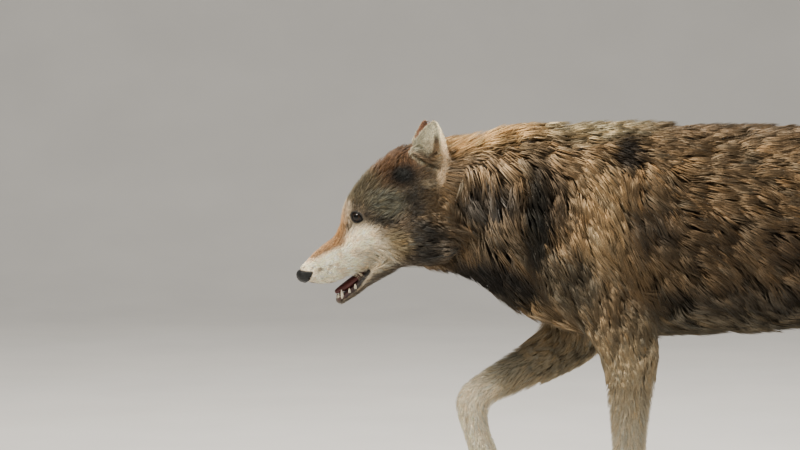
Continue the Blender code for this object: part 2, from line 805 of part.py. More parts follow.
def clear_scene():
    for obj in list(bpy.data.objects):
        bpy.data.objects.remove(obj)


def coat(name):
    """Guard hairs over pale wool."""
    return COATS[COAT_OF.get(name, "thick")], 0.85


def leather(_):
    return (0.012, 0.011, 0.011), 0.38


def wet_eye(_):
    return (0.06, 0.028, 0.010), 0.05


def wet_flesh(_):
    return (0.33, 0.10, 0.09), 0.35


FINISHES = {"nose": leather, "tongue": wet_flesh, "eye_left": wet_eye, "eye_right": wet_eye}


def give_material(obj):
    colour, roughness = FINISHES.get(obj.name, coat)(obj.name)
    made = bpy.data.materials.new(obj.name + "_finish")
    made.use_nodes = True
    shader = made.node_tree.nodes["Principled BSDF"]
    shader.inputs["Base Color"].default_value = (*colour, 1)
    shader.inputs["Roughness"].default_value = roughness
    obj.data.materials.clear()
    obj.data.materials.append(made)
    obj.data.shade_smooth()


def main():
    clear_scene()
    field = wolf_field()
    trunk = drawn("trunk", field, (-0.60, -0.22, 0.04), (0.76, 0.22, 0.88), 0.006, BODY_TRIANGLES)
    parts = [paw(name, field, trunk) for name in PAWS]
    head, jaw, nose = head_and_jaw(field, trunk)
    parts += [head, jaw, nose, trunk]
    parts.append(split_off("neck", trunk, NECK_REGION))
    for name, outline in LEG_REGIONS.items():
        parts.append(split_off(name, trunk, outline, side=SIDE[name.split("_")[1]]))
    parts.append(split_off("tail", trunk, TAIL_REGION))
    for side_name in SIDE:
        parts.append(ear(side_name, head))
        parts.append(eye(side_name, head))
    parts.append(tongue(jaw, head))
    add_teeth(jaw, LOWER_TEETH)
    for part in parts:
        keep_largest(part)
        part.data.transform(Matrix.Translation(-ORIGIN))
        give_material(part)


main()
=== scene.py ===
"""Looks of the life-size grey wolf: skin, eyes, nose, mouth, claws and a coat of mesh tufts.

The chains of sections are those of the CAD solids, which give the outline out to the tips of the coat.
The last number of each section here is the coat's depth there, so the same chains made thinner by it
give the skin. Tufts grow from the skin, follow the lie of the coat, and end at the outer form.
Metres, +Z up, the wolf faces -X and its left side is at -Y.
"""

import math

import bmesh
import bpy
import numpy as np
from mathutils import Matrix, Vector
from mathutils.kdtree import KDTree


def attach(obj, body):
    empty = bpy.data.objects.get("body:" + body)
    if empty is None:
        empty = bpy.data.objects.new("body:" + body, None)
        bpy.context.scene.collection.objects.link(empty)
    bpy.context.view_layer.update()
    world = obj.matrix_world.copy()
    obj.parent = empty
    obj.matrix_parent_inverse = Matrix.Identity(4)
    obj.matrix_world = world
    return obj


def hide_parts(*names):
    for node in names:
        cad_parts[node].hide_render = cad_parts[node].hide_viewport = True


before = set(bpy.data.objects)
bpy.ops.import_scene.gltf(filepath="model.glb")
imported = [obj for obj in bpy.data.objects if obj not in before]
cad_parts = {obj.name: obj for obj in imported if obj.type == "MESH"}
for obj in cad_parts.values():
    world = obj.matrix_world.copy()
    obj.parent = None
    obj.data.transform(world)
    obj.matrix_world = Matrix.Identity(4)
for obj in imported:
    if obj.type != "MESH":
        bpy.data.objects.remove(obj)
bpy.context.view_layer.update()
RANDOM = np.random.default_rng(7)

# ---------- sizes shared with the solids

ORIGIN = np.array((0.0051, -0.0009, 0.0))  # of the frame, in the sections' own frame
FAR = 0.3  # the distance given to points that are out of a chain's reach
REACH = 0.07
COARSE_STEPS = 4
HEAD_YAW = math.radians(9)
HEAD_PIVOT = Vector((-0.44, 0.0, 0.0))
HEAD_BLEND = 0.04
SIDE = {"left": -1, "right": 1}

# Trunk and neck: x, top, bottom, half-width, coat.
TRUNK = (
    (-0.47, 0.79, 0.566, 0.092, 0.03), (-0.43, 0.8, 0.556, 0.104, 0.035),
    (-0.38, 0.808, 0.546, 0.114, 0.036), (-0.335, 0.822, 0.53, 0.12, 0.035),
    (-0.29, 0.832, 0.506, 0.122, 0.032), (-0.24, 0.828, 0.47, 0.122, 0.03),
    (-0.17, 0.828, 0.448, 0.124, 0.028), (-0.08, 0.828, 0.446, 0.128, 0.028),
    (0.02, 0.823, 0.452, 0.134, 0.028), (0.12, 0.823, 0.456, 0.134, 0.028),
    (0.21, 0.822, 0.468, 0.126, 0.028), (0.29, 0.821, 0.498, 0.112, 0.026),
    (0.37, 0.816, 0.532, 0.104, 0.024), (0.44, 0.803, 0.56, 0.098, 0.024), (0.5, 0.78, 0.6, 0.08, 0.024),
)
TRUNK_KEEL = 0.28

# Legs: x, distance from the middle, z, rear, front and side radius, coat.
LEGS = {
    "foreleg_left": (
        (-0.15, 0.06, 0.73, 0.06, 0.06, 0.05, 0.022), (-0.23, 0.08, 0.6, 0.07, 0.066, 0.054, 0.022),
        (-0.15, 0.092, 0.492, 0.064, 0.06, 0.048, 0.017),
        (-0.126, 0.088, 0.425, 0.051, 0.051, 0.04, 0.012),
        (-0.126, 0.08, 0.34, 0.039, 0.039, 0.031, 0.008),
        (-0.126, 0.072, 0.27, 0.031, 0.031, 0.027, 0.006),
        (-0.126, 0.068, 0.222, 0.031, 0.032, 0.029, 0.006),
        (-0.129, 0.063, 0.15, 0.024, 0.025, 0.026, 0.005),
        (-0.134, 0.058, 0.09, 0.025, 0.025, 0.029, 0.005),
        (-0.142, 0.056, 0.048, 0.028, 0.028, 0.033, 0.005),
    ),
    "foreleg_right": (
        (-0.18, 0.06, 0.73, 0.06, 0.06, 0.05, 0.022), (-0.25, 0.08, 0.6, 0.066, 0.064, 0.052, 0.022),
        (-0.205, 0.09, 0.472, 0.062, 0.056, 0.048, 0.017),
        (-0.258, 0.086, 0.412, 0.046, 0.045, 0.04, 0.012),
        (-0.32, 0.08, 0.377, 0.037, 0.037, 0.031, 0.008),
        (-0.37, 0.074, 0.35, 0.031, 0.031, 0.027, 0.006),
        (-0.392, 0.07, 0.326, 0.031, 0.031, 0.028, 0.006),
        (-0.386, 0.066, 0.28, 0.025, 0.024, 0.026, 0.005),
        (-0.372, 0.064, 0.238, 0.026, 0.025, 0.029, 0.005),
        (-0.366, 0.063, 0.205, 0.028, 0.026, 0.033, 0.005),
    ),
    "hindleg_left": (
        (0.385, 0.045, 0.7, 0.09, 0.1, 0.07, 0.022), (0.44, 0.062, 0.62, 0.096, 0.11, 0.064, 0.022),
        (0.425, 0.078, 0.5, 0.08, 0.078, 0.054, 0.019), (0.452, 0.084, 0.4, 0.056, 0.052, 0.042, 0.014),
        (0.512, 0.08, 0.31, 0.036, 0.036, 0.03, 0.01), (0.562, 0.075, 0.24, 0.03, 0.028, 0.024, 0.007),
        (0.572, 0.07, 0.17, 0.024, 0.022, 0.022, 0.005), (0.562, 0.066, 0.1, 0.023, 0.023, 0.026, 0.005),
        (0.546, 0.064, 0.048, 0.025, 0.026, 0.031, 0.005),
    ),
    "hindleg_right": (
        (0.385, 0.045, 0.7, 0.09, 0.1, 0.07, 0.022), (0.4, 0.062, 0.62, 0.11, 0.1, 0.064, 0.022),
        (0.335, 0.078, 0.505, 0.09, 0.07, 0.054, 0.019), (0.318, 0.084, 0.41, 0.062, 0.05, 0.042, 0.014),
        (0.345, 0.08, 0.305, 0.038, 0.036, 0.03, 0.01), (0.37, 0.075, 0.222, 0.032, 0.028, 0.024, 0.007),
        (0.346, 0.07, 0.155, 0.024, 0.023, 0.022, 0.005),
        (0.318, 0.066, 0.095, 0.023, 0.023, 0.026, 0.005),
        (0.296, 0.064, 0.048, 0.025, 0.026, 0.031, 0.005),
    ),
}
LEG_BLEND = {"foreleg": 0.045, "hindleg": 0.05}

# Paws: the joint's place over the sole, how far the toes are turned down, and size.
PAWS = {
    "paw_front_left": ((-0.145, -0.056, 0.0), 0.0, 1.0),
    "paw_front_right": ((-0.372, 0.063, 0.16), math.radians(75), 1.0),
    "paw_hind_left": ((0.543, -0.064, 0.0), 0.0, 0.94),
    "paw_hind_right": ((0.293, 0.064, 0.0), 0.0, 0.94),
}
PAW_JOINT_HEIGHT = 0.03
PAW_BLEND = 0.008
TOE_BLEND = 0.003  # here the creases between the toes show
PAW_COAT = 0.0015
TOES = ((-0.029, 0.0), (-0.0105, 0.012), (0.0105, 0.012), (0.029, 0.0))
TOE_CREASES = (-0.0205, 0.0, 0.0205)
TOE = ((-0.004, 0.75, 0.038, 0.017), (0.026, 1.0, 0.035, 0.0165), (0.05, 1.06, 0.013, 0.014))
PAD = ((0.022, 0.013, 0.0145, 0.024), (-0.012, 0.013, 0.0145, 0.025))
FOOT = ((0.024, 0.026, 0.016, 0.026), (-0.014, 0.034, 0.02, 0.026))
CLAW = ((-0.003, 0.016, 0.0038), (0.009, 0.0165, 0.0036), (0.017, 0.0125, 0.0026), (0.0215, 0.008, 0.0009))

# Tail: x, z, radius, coat.
TAIL = (
    (0.48, 0.745, 0.042, 0.02), (0.555, 0.73, 0.045, 0.025), (0.605, 0.655, 0.052, 0.034),
    (0.632, 0.555, 0.06, 0.044), (0.65, 0.455, 0.056, 0.043), (0.66, 0.385, 0.038, 0.028),
    (0.664, 0.335, 0.008, 0.004),
)

# Head, front to back, before it is turned: x, y, z, upper, lower and side radius, coat.
SKULL = (
    (-0.6, 0, 0.63, 0.018, 0.046, 0.034, 0.004), (-0.576, 0, 0.65, 0.05, 0.06, 0.046, 0.005),
    (-0.545, 0, 0.67, 0.074, 0.078, 0.058, 0.006), (-0.505, 0, 0.69, 0.085, 0.09, 0.066, 0.008),
    (-0.46, 0, 0.7, 0.084, 0.092, 0.072, 0.013),
)
MUZZLE = (
    (-0.689, 0, 0.5625, 0.01, 0.01, 0.015, 0.0015), (-0.68, 0, 0.565, 0.0165, 0.016, 0.021, 0.0015),
    (-0.661, 0, 0.572, 0.0255, 0.0255, 0.028, 0.002), (-0.642, 0, 0.58, 0.034, 0.035, 0.032, 0.003),
    (-0.617, 0, 0.597, 0.035, 0.04, 0.036, 0.0035), (-0.592, 0, 0.614, 0.034, 0.045, 0.042, 0.004),
)
JAW = (
    (-0.624, 0, 0.5175, 0.009, 0.0085, 0.016, 0.002), (-0.602, 0, 0.536, 0.013, 0.013, 0.022, 0.0035),
    (-0.578, 0, 0.559, 0.018, 0.018, 0.032, 0.005), (-0.548, 0, 0.587, 0.026, 0.03, 0.048, 0.008),
)
BROW = (
    (-0.594, 0.024, 0.672, 0.016, 0.016, 0.017, 0.004), (-0.578, 0.036, 0.69, 0.02, 0.02, 0.018, 0.005),
    (-0.552, 0.044, 0.694, 0.016, 0.016, 0.014, 0.005),
)
CHEEK = (
    (-0.588, 0.034, 0.624, 0.018, 0.024, 0.016, 0.004),
    (-0.545, 0.052, 0.634, 0.028, 0.036, 0.022, 0.006), (-0.5, 0.068, 0.646, 0.04, 0.05, 0.028, 0.01),
)
RUFF = (
    (-0.52, 0.055, 0.62, 0.04, 0.04, 0.03, 0.011), (-0.475, 0.08, 0.64, 0.06, 0.06, 0.036, 0.018),
)
ORBIT = (-0.6, 0.072, 0.6625, 0.026)
ORBIT_BLEND = 0.012
EYE_PLACE = (-0.596, 0.0355, 0.6635)
EYE_RADIUS = 0.0125

# Ears: root, tip, and the way that the hollow faces, as for an ear at +Y. The right one is turned forwards.
EARS = {
    "left": ((-0.489, 0.055, 0.716), (-0.471, 0.066, 0.829), (-0.4, 0.92, 0.0)),
    "right": ((-0.486, 0.055, 0.716), (-0.467, 0.064, 0.826), (-0.8, 0.6, 0.0)),
}
EAR_TIP_ROUNDING = 12
EAR_HALF_WIDTH = 0.037
EAR_CUP = 0.02

# How widely each part blends with those before it.
BLENDS = {
    "trunk": 0.01, "tail": 0.03, "skull": 0.01, "muzzle": 0.022,
    "cheek": 0.03, "brow": 0.022, "ruff": 0.04, "jaw": 0.016,
}

# ---------- the distance field


class Chain:
    """A run of elliptical sections: x, y, z, upper or rear, lower or front and side radius, coat."""

    def __init__(self, sections, parts=3, power=2.0, keel=0.0, lies=True):
        self.rows = smoothed(sections, parts)
        self.lies = lies  # whether the coat lies along it
        self.power = power
        self.keel = keel
        widest = self.rows[:, 3:6].max()
        self.low = self.rows[:, :3].min(0) - widest - REACH
        self.high = self.rows[:, :3].max(0) + widest + REACH

    def distance(self, points, bare):
        """Distances to the coat's surface, or to the skin's if bare, with each point's nearest direction."""
        out = np.full(len(points), FAR)
        way = np.zeros((len(points), 3))
        near = ((points > self.low) & (points < self.high)).all(1)
        here = points[near]
        best, best_way = np.full(len(here), FAR), np.zeros((len(here), 3))
        for first, second in zip(self.rows, self.rows[1:]):
            d, tangent = self.span_distance(here, first, second, bare)
            closer = d < best
            best = np.where(closer, d, best)
            best_way[closer] = tangent
        out[near], way[near] = best, best_way
        return out, way

    def span_distance(self, points, first, second, bare):
        run = second[:3] - first[:3]
        length = np.linalg.norm(run)
        tangent = run / length
        upward = across(tangent)
        offset = points - first[:3]
        along = offset @ tangent
        t = np.clip(along / length, 0, 1)
        past = along - t * length
        up = offset @ upward
        side = offset @ np.cross(upward, tangent)
        mixed = first[3:] + (second[3:] - first[3:]) * t[:, None]
        radii = mixed[:, :3] - mixed[:, 3:] if bare else mixed[:, :3]
        radius = np.where(up > 0, radii[:, 0], radii[:, 1])
        side_radius = radii[:, 2] * (1 - self.keel * np.clip(-up / radius, 0, 1) ** 2)
        end_radius = np.minimum(radius, side_radius)
        rounded = (np.abs(up) / radius) ** self.power + (np.abs(side) / side_radius) ** self.power
        share = np.sqrt(np.maximum(rounded ** (2 / self.power) + (past / end_radius) ** 2, 1e-6))
        size = np.sqrt(up**2 + side**2 + past**2)
        return np.where(share > 0.05, size * (1 - 1 / share), -end_radius), tangent


def smoothed(sections, parts):
    """Catmull-Rom rows through the given ones, which splits each span into so many parts."""
    rows = np.array(sections, float)
    ends = np.vstack([2 * rows[0] - rows[1], rows, 2 * rows[-1] - rows[-2]])
    t = (np.arange(parts) / parts)[:, None]
    spans = []
    for a, b, c, d in zip(ends, ends[1:], ends[2:], ends[3:]):
        cubic = 3 * b - a - 3 * c + d
        spans.append(b + 0.5 * ((c - a) * t + (2 * a - 5 * b + 4 * c - d) * t**2 + cubic * t**3))
    return np.vstack([*spans, rows[-1:]])


def across(tangent):
    upward = np.cross(tangent, (0, 1, 0))
    return upward / np.linalg.norm(upward)


def joined(a, b, blend):
    """The smaller of two distances, with a fillet of that size between the shapes."""
    overlap = np.maximum(blend - np.abs(a - b), 0) / blend
    return np.minimum(a, b) - overlap**2 * blend / 4


def carved(distance, hole, blend):
    """The distance to a shape with a hole cut into it, its edge rounded by the blend."""
    return -joined(-distance, hole, blend)


def mirrored(sections, side):
    return [(x, y * side, z, *radii) for x, y, z, *radii in sections]


def trunk_chain():
    sections = []
    for x, top, bottom, width, hair in TRUNK:
        half = (top - bottom) / 2
        sections.append((x, 0, bottom + half, half, half, width, hair))
    return Chain(sections, parts=2, keel=TRUNK_KEEL)


def paw_matrix(paw):
    """From a paw's own frame, with its sole on z = 0 and its toes towards -X, to its place."""
    joint, turn, size = PAWS[paw]
    axis = Matrix.Translation((0, 0, PAW_JOINT_HEIGHT))
    turned = axis @ Matrix.Rotation(-turn, 4, "Y") @ axis.inverted()
    return Matrix.Translation(joint) @ turned @ Matrix.Scale(size, 4)


def paw_chain(paw, rows, parts, lies):
    matrix, size = paw_matrix(paw), PAWS[paw][2]
    sections = []
    for forward, sideways, height, radius, side in rows:
        place = matrix @ Vector((-forward, sideways, height))
        sections.append((*place, radius * size, radius * size, side * size, PAW_COAT))
    return Chain(sections, parts, lies=lies)


def paw_chains(paw):
    for sideways, longer in TOES:
        rows = []
        for row, (forward, share, height, radius) in enumerate(TOE):
            rows.append((forward + longer * min(row, 1), sideways * share, height, radius, radius))
        yield paw_chain(paw, rows, 3, True), TOE_BLEND
    for flat in (PAD, FOOT):
        backward = [(forward, 0, height, r, side) for forward, height, r, side in flat][::-1]
        yield paw_chain(paw, backward, 2, False), PAW_BLEND


def body_chains():
    """The chains in the order that they are blended in, each with its blend."""
    yield trunk_chain(), BLENDS["trunk"]
    yield Chain([(x, 0, z, r, r, r, hair) for x, z, r, hair in TAIL]), BLENDS["tail"]
    for name, sections in LEGS.items():
        kind, side = name.split("_")
        yield Chain(mirrored(sections, SIDE[side])), LEG_BLEND[kind]
    for paw in PAWS:
        yield from paw_chains(paw)


def head_chains():
    yield Chain(SKULL, power=2.2), BLENDS["skull"]
    yield Chain(MUZZLE, power=2.4), BLENDS["muzzle"]
    for side in SIDE.values():
        for name, sections in (("cheek", CHEEK), ("brow", BROW), ("ruff", RUFF)):
            yield Chain(mirrored(sections, side)), BLENDS[name]
    yield Chain(JAW, power=2.2), BLENDS["jaw"]


def head_turn(angle=HEAD_YAW):
    return Matrix.Translation(HEAD_PIVOT) @ Matrix.Rotation(angle, 4, "Z") @ Matrix.Translation(-HEAD_PIVOT)


BODY_CHAINS, HEAD_CHAINS = list(body_chains()), list(head_chains())
HEAD_BACK = np.array(head_turn(-HEAD_YAW))
HEAD_OUT = np.array(head_turn())
LIE_SPREAD = 0.012  # how softly the lie of the coat passes from one chain to the next


def moved(points, matrix):
    """The points, put through a 4 x 4 matrix."""
    return points @ matrix[:3, :3].T + matrix[:3, 3]


def unturned(points):
    return moved(points, HEAD_BACK)


def turned(points):
    return moved(points, HEAD_OUT)


def one_sided(points):
    """The points, with those of the left side mirrored to the right."""
    x, y, z = points.T
    return np.stack([x, np.abs(y), z], 1)


def chains_distance(chains, points, bare):
    total = np.full(len(points), FAR)
    for chain, blend in chains:
        total = joined(total, chain.distance(points, bare)[0], blend)
    return total


def hollowed(distance, points):
    """The head's distance with a dish round each eye."""
    x, y, z, radius = ORBIT
    for side in SIDE.values():
        ball = np.linalg.norm(points - (x, y * side, z), axis=1) - radius
        distance = carved(distance, ball, ORBIT_BLEND)
    return distance


def coat_form(points, bare=False):
    """Distance to the outer form of the coat, or of the plain skin under it, without the ears."""
    face = unturned(points)
    head = hollowed(chains_distance(HEAD_CHAINS, face, bare), face)
    return joined(chains_distance(BODY_CHAINS, points, bare), head, HEAD_BLEND)


def outline_distance(outline, points):
    """Distance from an outline in a plane, less than zero inside it."""
    corners = np.array(outline)
    best = np.full(len(points), FAR**2)
    inside = np.zeros(len(points), bool)
    for a, b in zip(corners, np.roll(corners, -1, 0)):
        run, offset = b - a, points - a
        t = np.clip(offset @ run / (run @ run), 0, 1)
        best = np.minimum(best, ((offset - t[:, None] * run) ** 2).sum(1))
        if a[1] != b[1]:
            crosses = (a[1] > points[:, 1]) != (b[1] > points[:, 1])
            inside ^= crosses & (points[:, 0] < a[0] + run[0] * (points[:, 1] - a[1]) / run[1])
    return np.where(inside, -1, 1) * np.sqrt(best)


# ---------- ears, eyelids and mouth

EAR_HALF_THICK = 0.0035  # with its hair
EAR_SKIN_HALF_THICK = 0.0018
EAR_BLEND = 0.01


def ear_leaf(level):
    """The ear's half-width at a share of its height, as a share of the widest."""
    return np.sin(np.pi * (0.3 + 0.62 * level)) * np.sqrt(1.02 - level**EAR_TIP_ROUNDING)


def ear_axes(side_name):
    """Root, the ways up, out of the hollow and across, and the length, as for an ear at +Y."""
    root, tip, faces = map(Vector, EARS[side_name])
    up = (tip - root).normalized()
    front = (faces - up * faces.dot(up)).normalized()
    return [*map(np.array, (root, up, front, up.cross(front))), (tip - root).length]


def ear_place(face, side_name):
    """Share of the ear's height, share of its width, and distance from its leaf."""
    root, up, front, across_ear, length = ear_axes(side_name)
    offset = face * (1, SIDE[side_name], 1) - root
    height = offset @ up / length
    level = np.clip(height, 0, 1)
    leaf = ear_leaf(level)
    u = offset @ across_ear / (EAR_HALF_WIDTH * leaf)
    cup = EAR_CUP * (1.15 - 0.6 * level)
    depth = cup * leaf * (1 - np.clip(u, -1.3, 1.3) ** 2)
    slope = 2 * cup * np.clip(u, -1.3, 1.3) / EAR_HALF_WIDTH
    off = (offset @ front + depth) / np.sqrt(1 + slope**2)
    return height, u, off


def nearer_ear_place(face):
    """The same for the ear on each point's own side."""
    left, right = ear_place(face, "left"), ear_place(face, "right")
    return [np.where(face[:, 1] < 0, a, b) for a, b in zip(left, right)]


def ear_distance(face, side_name, bare):
    """Distance to one ear: a thin cupped leaf."""
    height, u, off = ear_place(face, side_name)
    length = ear_axes(side_name)[4]
    level = np.clip(height, 0, 1)
    thick = EAR_SKIN_HALF_THICK * (1 - 0.12 * level) if bare else EAR_HALF_THICK * (1 - 0.45 * level)
    trim = 0.0015 if bare else 0.0
    edge = np.maximum((np.abs(u) - 1) * EAR_HALF_WIDTH * ear_leaf(level), (height - 1) * length) + trim
    return np.maximum(np.maximum(np.abs(off) - thick, edge), (-0.12 - height) * length)


EYE_GAZE = Vector((-0.6, 0.8, 0.02)).normalized()  # for the right eye; the left eye's is mirrored
EYE_SLANT = math.radians(24)  # the outer corner is higher
EYE_LONG = Matrix.Rotation(EYE_SLANT, 3, EYE_GAZE) @ EYE_GAZE.cross(Vector((0, 0, -1))).normalized()
EYE_SHORT = EYE_LONG.cross(EYE_GAZE).normalized()
EYE_REACH = 1.45  # half the opening's length and heights, as slopes seen from the eye's middle
EYE_RISE = 0.72
EYE_DROP = 0.58
LID_THICK = 0.0018
LID_BLEND = 0.006


def eye_opening(points):
    """For points on the eye's own side: distance from its middle, and 1 at the edge of the lids' opening."""
    offset = points - np.array(EYE_PLACE)
    radius = np.linalg.norm(offset, axis=1)
    ahead = offset @ np.array(EYE_GAZE)
    safe = np.maximum(ahead, 1e-4)
    a = offset @ np.array(EYE_LONG) / safe / EYE_REACH
    b = offset @ np.array(EYE_SHORT) / safe
    b = b / np.where(b > 0, EYE_RISE, EYE_DROP)
    almond = np.abs(b) + np.abs(a) ** 2.0
    return radius, np.where(ahead > 0.001, almond, 9.0)


def with_eyelids(distance, points):
    radius, almond = eye_opening(points)
    distance = joined(distance, radius - EYE_RADIUS - LID_THICK, LID_BLEND)
    gap = np.maximum((almond - 1) * 0.4 * EYE_RADIUS, EYE_RADIUS - 0.003 - radius)
    return np.where(radius < 2 * EYE_RADIUS, np.maximum(distance, -gap), distance)


# Outlines of the open mouth and of the nose's leather, seen from the side: x, z. PALATE is the chain of the
# mouth's inside.
MOUTH = (
    (-0.583, 0.569), (-0.592, 0.561), (-0.604, 0.553), (-0.624, 0.546), (-0.72, 0.53), (-0.72, 0.48),
    (-0.645, 0.519), (-0.62, 0.528), (-0.6, 0.545),
)
LIP_ROUNDING = 0.004
NOSE = ((-0.72, 0.5735), (-0.6745, 0.568), (-0.68, 0.553), (-0.689, 0.542), (-0.72, 0.52))
PALATE = (
    (-0.664, 0, 0.54, 0.007, 0.006, 0.011, 0), (-0.64, 0, 0.545, 0.009, 0.008, 0.014, 0),
    (-0.61, 0, 0.554, 0.01, 0.008, 0.017, 0), (-0.588, 0, 0.565, 0.006, 0.006, 0.012, 0),
)
PALATE_CHAIN = Chain(PALATE)


def mouth_room(face):
    """Distance to the open mouth, less than zero inside it."""
    wedge = outline_distance(MOUTH, face[:, [0, 2]])
    return joined(wedge, PALATE_CHAIN.distance(face, False)[0], LIP_ROUNDING)


def outer_form(points):
    """Distance to the coat's outer form, ears included."""
    face = unturned(points)
    distance = coat_form(points)
    for side_name in SIDE:
        distance = joined(distance, ear_distance(face, side_name, False), EAR_BLEND)
    return distance


def skin_form(points):
    """Distance to the skin, with ears, eyelids and an open mouth; the soles are flat on the floor."""
    face = unturned(points)
    head = hollowed(chains_distance(HEAD_CHAINS, face, True), face)
    for side_name, side in SIDE.items():
        head = joined(head, ear_distance(face, side_name, True), EAR_BLEND)
        head = with_eyelids(head, face * (1, side, 1))
    head = carved(head, mouth_room(face), LIP_ROUNDING)
    whole = joined(chains_distance(BODY_CHAINS, points, True), head, HEAD_BLEND)
    return np.maximum(whole, -points[:, 2])


# ---------- from field to mesh


def within_box(field, low, high):
    """The field, cut off at the sides of a box."""

    def limited(points):
        outside = np.maximum(low - points, points - high).max(1)
        return np.maximum(field(points), outside)

    return limited


def sampled(field, corner, counts, cell):
    """The field at the points of a grid, measured exactly only near the surface."""
    step = cell * COARSE_STEPS
    rough = field(corner + np.indices(counts + 1).reshape(3, -1).T * step).reshape(counts + 1)
    values = rough
    for axis in range(3):
        values = np.repeat(values, COARSE_STEPS, axis)
    half = COARSE_STEPS // 2
    values = values[half : 1 - half, half : 1 - half, half : 1 - half].copy()
    near = np.argwhere(np.abs(values) < 1.25 * step)
    values[tuple(near.T)] = field(corner + near * cell)
    return values


def fill_pinches(values, fill):
    """Fills grid points where two sheets of the surface would meet along an edge."""
    pinched = True
    while pinched:
        pinched = False
        for axis in range(3):
            flat = np.moveaxis(values, axis, 0)
            a, b, c, d = flat[:, :-1, :-1], flat[:, 1:, :-1], flat[:, 1:, 1:], flat[:, :-1, 1:]
            for p, q, r, s in ((a, b, c, d), (b, c, d, a)):
                bad = (p < 0) & (r < 0) & (q >= 0) & (s >= 0)
                q[bad] = -fill
                pinched |= bool(bad.any())


def surface_net(values):
    """Points, in grid steps, and quads of the zero surface: one point for each grid cell it crosses."""
    inside = values < 0
    cells = tuple(n - 1 for n in values.shape)
    offsets = [np.array(corner) for corner in np.ndindex(2, 2, 2)]
    filled = sum(inside[tuple(slice(o, o + n) for o, n in zip(c, cells))].astype(int) for c in offsets)
    active = np.argwhere((filled > 0) & (filled < 8))
    total, crossings = np.zeros((len(active), 3)), np.zeros((len(active), 1))
    for a in offsets:
        for b in offsets:
            if (b - a).min() < 0 or (b - a).sum() != 1:
                continue
            value_a, value_b = values[tuple((active + a).T)], values[tuple((active + b).T)]
            crossed = (value_a < 0) != (value_b < 0)
            t = np.where(crossed, value_a / np.where(crossed, value_a - value_b, 1), 0)[:, None]
            total += (a + t * (b - a)) * crossed[:, None]
            crossings += crossed[:, None]
    number = np.full(cells, -1)
    number[tuple(active.T)] = np.arange(len(active))
    quads = []
    unit = np.eye(3, dtype=int)
    for axis in range(3):
        one, two = unit[(axis + 1) % 3], unit[(axis + 2) % 3]
        here = inside[tuple(slice(0, n - s) for n, s in zip(inside.shape, unit[axis]))]
        there = inside[tuple(slice(s, None) for s in unit[axis])]
        for leaving in (True, False):
            found = np.argwhere((here != there) & (here == leaving))
            ring = [number[tuple(place.T)] for place in (found, found - one, found - one - two, found - two)]
            quads.append(np.stack(ring if leaving else ring[::-1], 1))
    return active + total / crossings, np.vstack(quads)


def slope_of(field, points, reach):
    value = field(points)
    return value, np.stack([field(points + reach * axis) - value for axis in np.eye(3)], 1) / reach


def settled(field, points, reach):
    """The points moved onto the zero surface itself."""
    for _ in range(2):
        value, slope = slope_of(field, points, reach)
        move = slope * (value / np.maximum((slope**2).sum(1), 0.3))[:, None]
        size = np.linalg.norm(move, axis=1, keepdims=True)
        points = points - move * np.minimum(1, 3 * reach / np.maximum(size, 1e-9))
    return points


def net(field, low, high, cell):
    """Points and quads of what the field holds in a box."""
    corner = np.array(low, float)
    counts = np.ceil((np.array(high) - corner) / (cell * COARSE_STEPS)).astype(int)
    top = corner + (counts * COARSE_STEPS - 2) * cell
    limited = within_box(field, corner + 2 * cell, top)
    values = sampled(limited, corner, counts, cell)
    fill_pinches(values, cell / 10)
    points, quads = surface_net(values)
    return settled(limited, corner + points * cell, cell / 5), quads


# ---------- objects


def new_object(name, points, faces):
    """A mesh object; the points are in the sections' frame, faces all have the same number of corners."""
    mesh = bpy.data.meshes.new(name)
    faces = np.asarray(faces, np.int32)
    mesh.vertices.add(len(points))
    mesh.vertices.foreach_set("co", (np.asarray(points) - ORIGIN).astype(np.float32).ravel())
    mesh.loops.add(faces.size)
    mesh.loops.foreach_set("vertex_index", faces.ravel())
    mesh.polygons.add(len(faces))
    mesh.polygons.foreach_set("loop_start", np.arange(0, faces.size, faces.shape[1], dtype=np.int32))
    mesh.update(calc_edges=True)
    obj = bpy.data.objects.new(name, mesh)
    bpy.context.scene.collection.objects.link(obj)
    mesh.shade_smooth()
    return obj


def joined_parts(parts):
    """Several (points, faces) as one, with faces that all have the same number of corners."""
    starts = np.cumsum([0] + [len(points) for points, _ in parts[:-1]])
    faces = [np.asarray(own) + start for (_, own), start in zip(parts, starts)]
    return np.vstack([points for points, _ in parts]), np.vstack(faces)


def patches(rings, sides, closed=False):
    """For each patch between rings of points: its two corners on one ring, and those on the next ring."""
    row, i = np.divmod(np.arange((rings if closed else rings - 1) * sides), sides)
    here, there, j = row * sides, (row + 1) % rings * sides, (i + 1) % sides
    return here + i, here + j, there + i, there + j


def end_caps(rings, sides):
    """Triangles that close both ends of such rings, with two points that follow them."""
    i = np.arange(sides)
    j, last, middle = (i + 1) % sides, (rings - 1) * sides, np.full(sides, rings * sides)
    return np.stack([j, i, middle, last + i, last + j, middle + 1], 1).reshape(-1, 3)


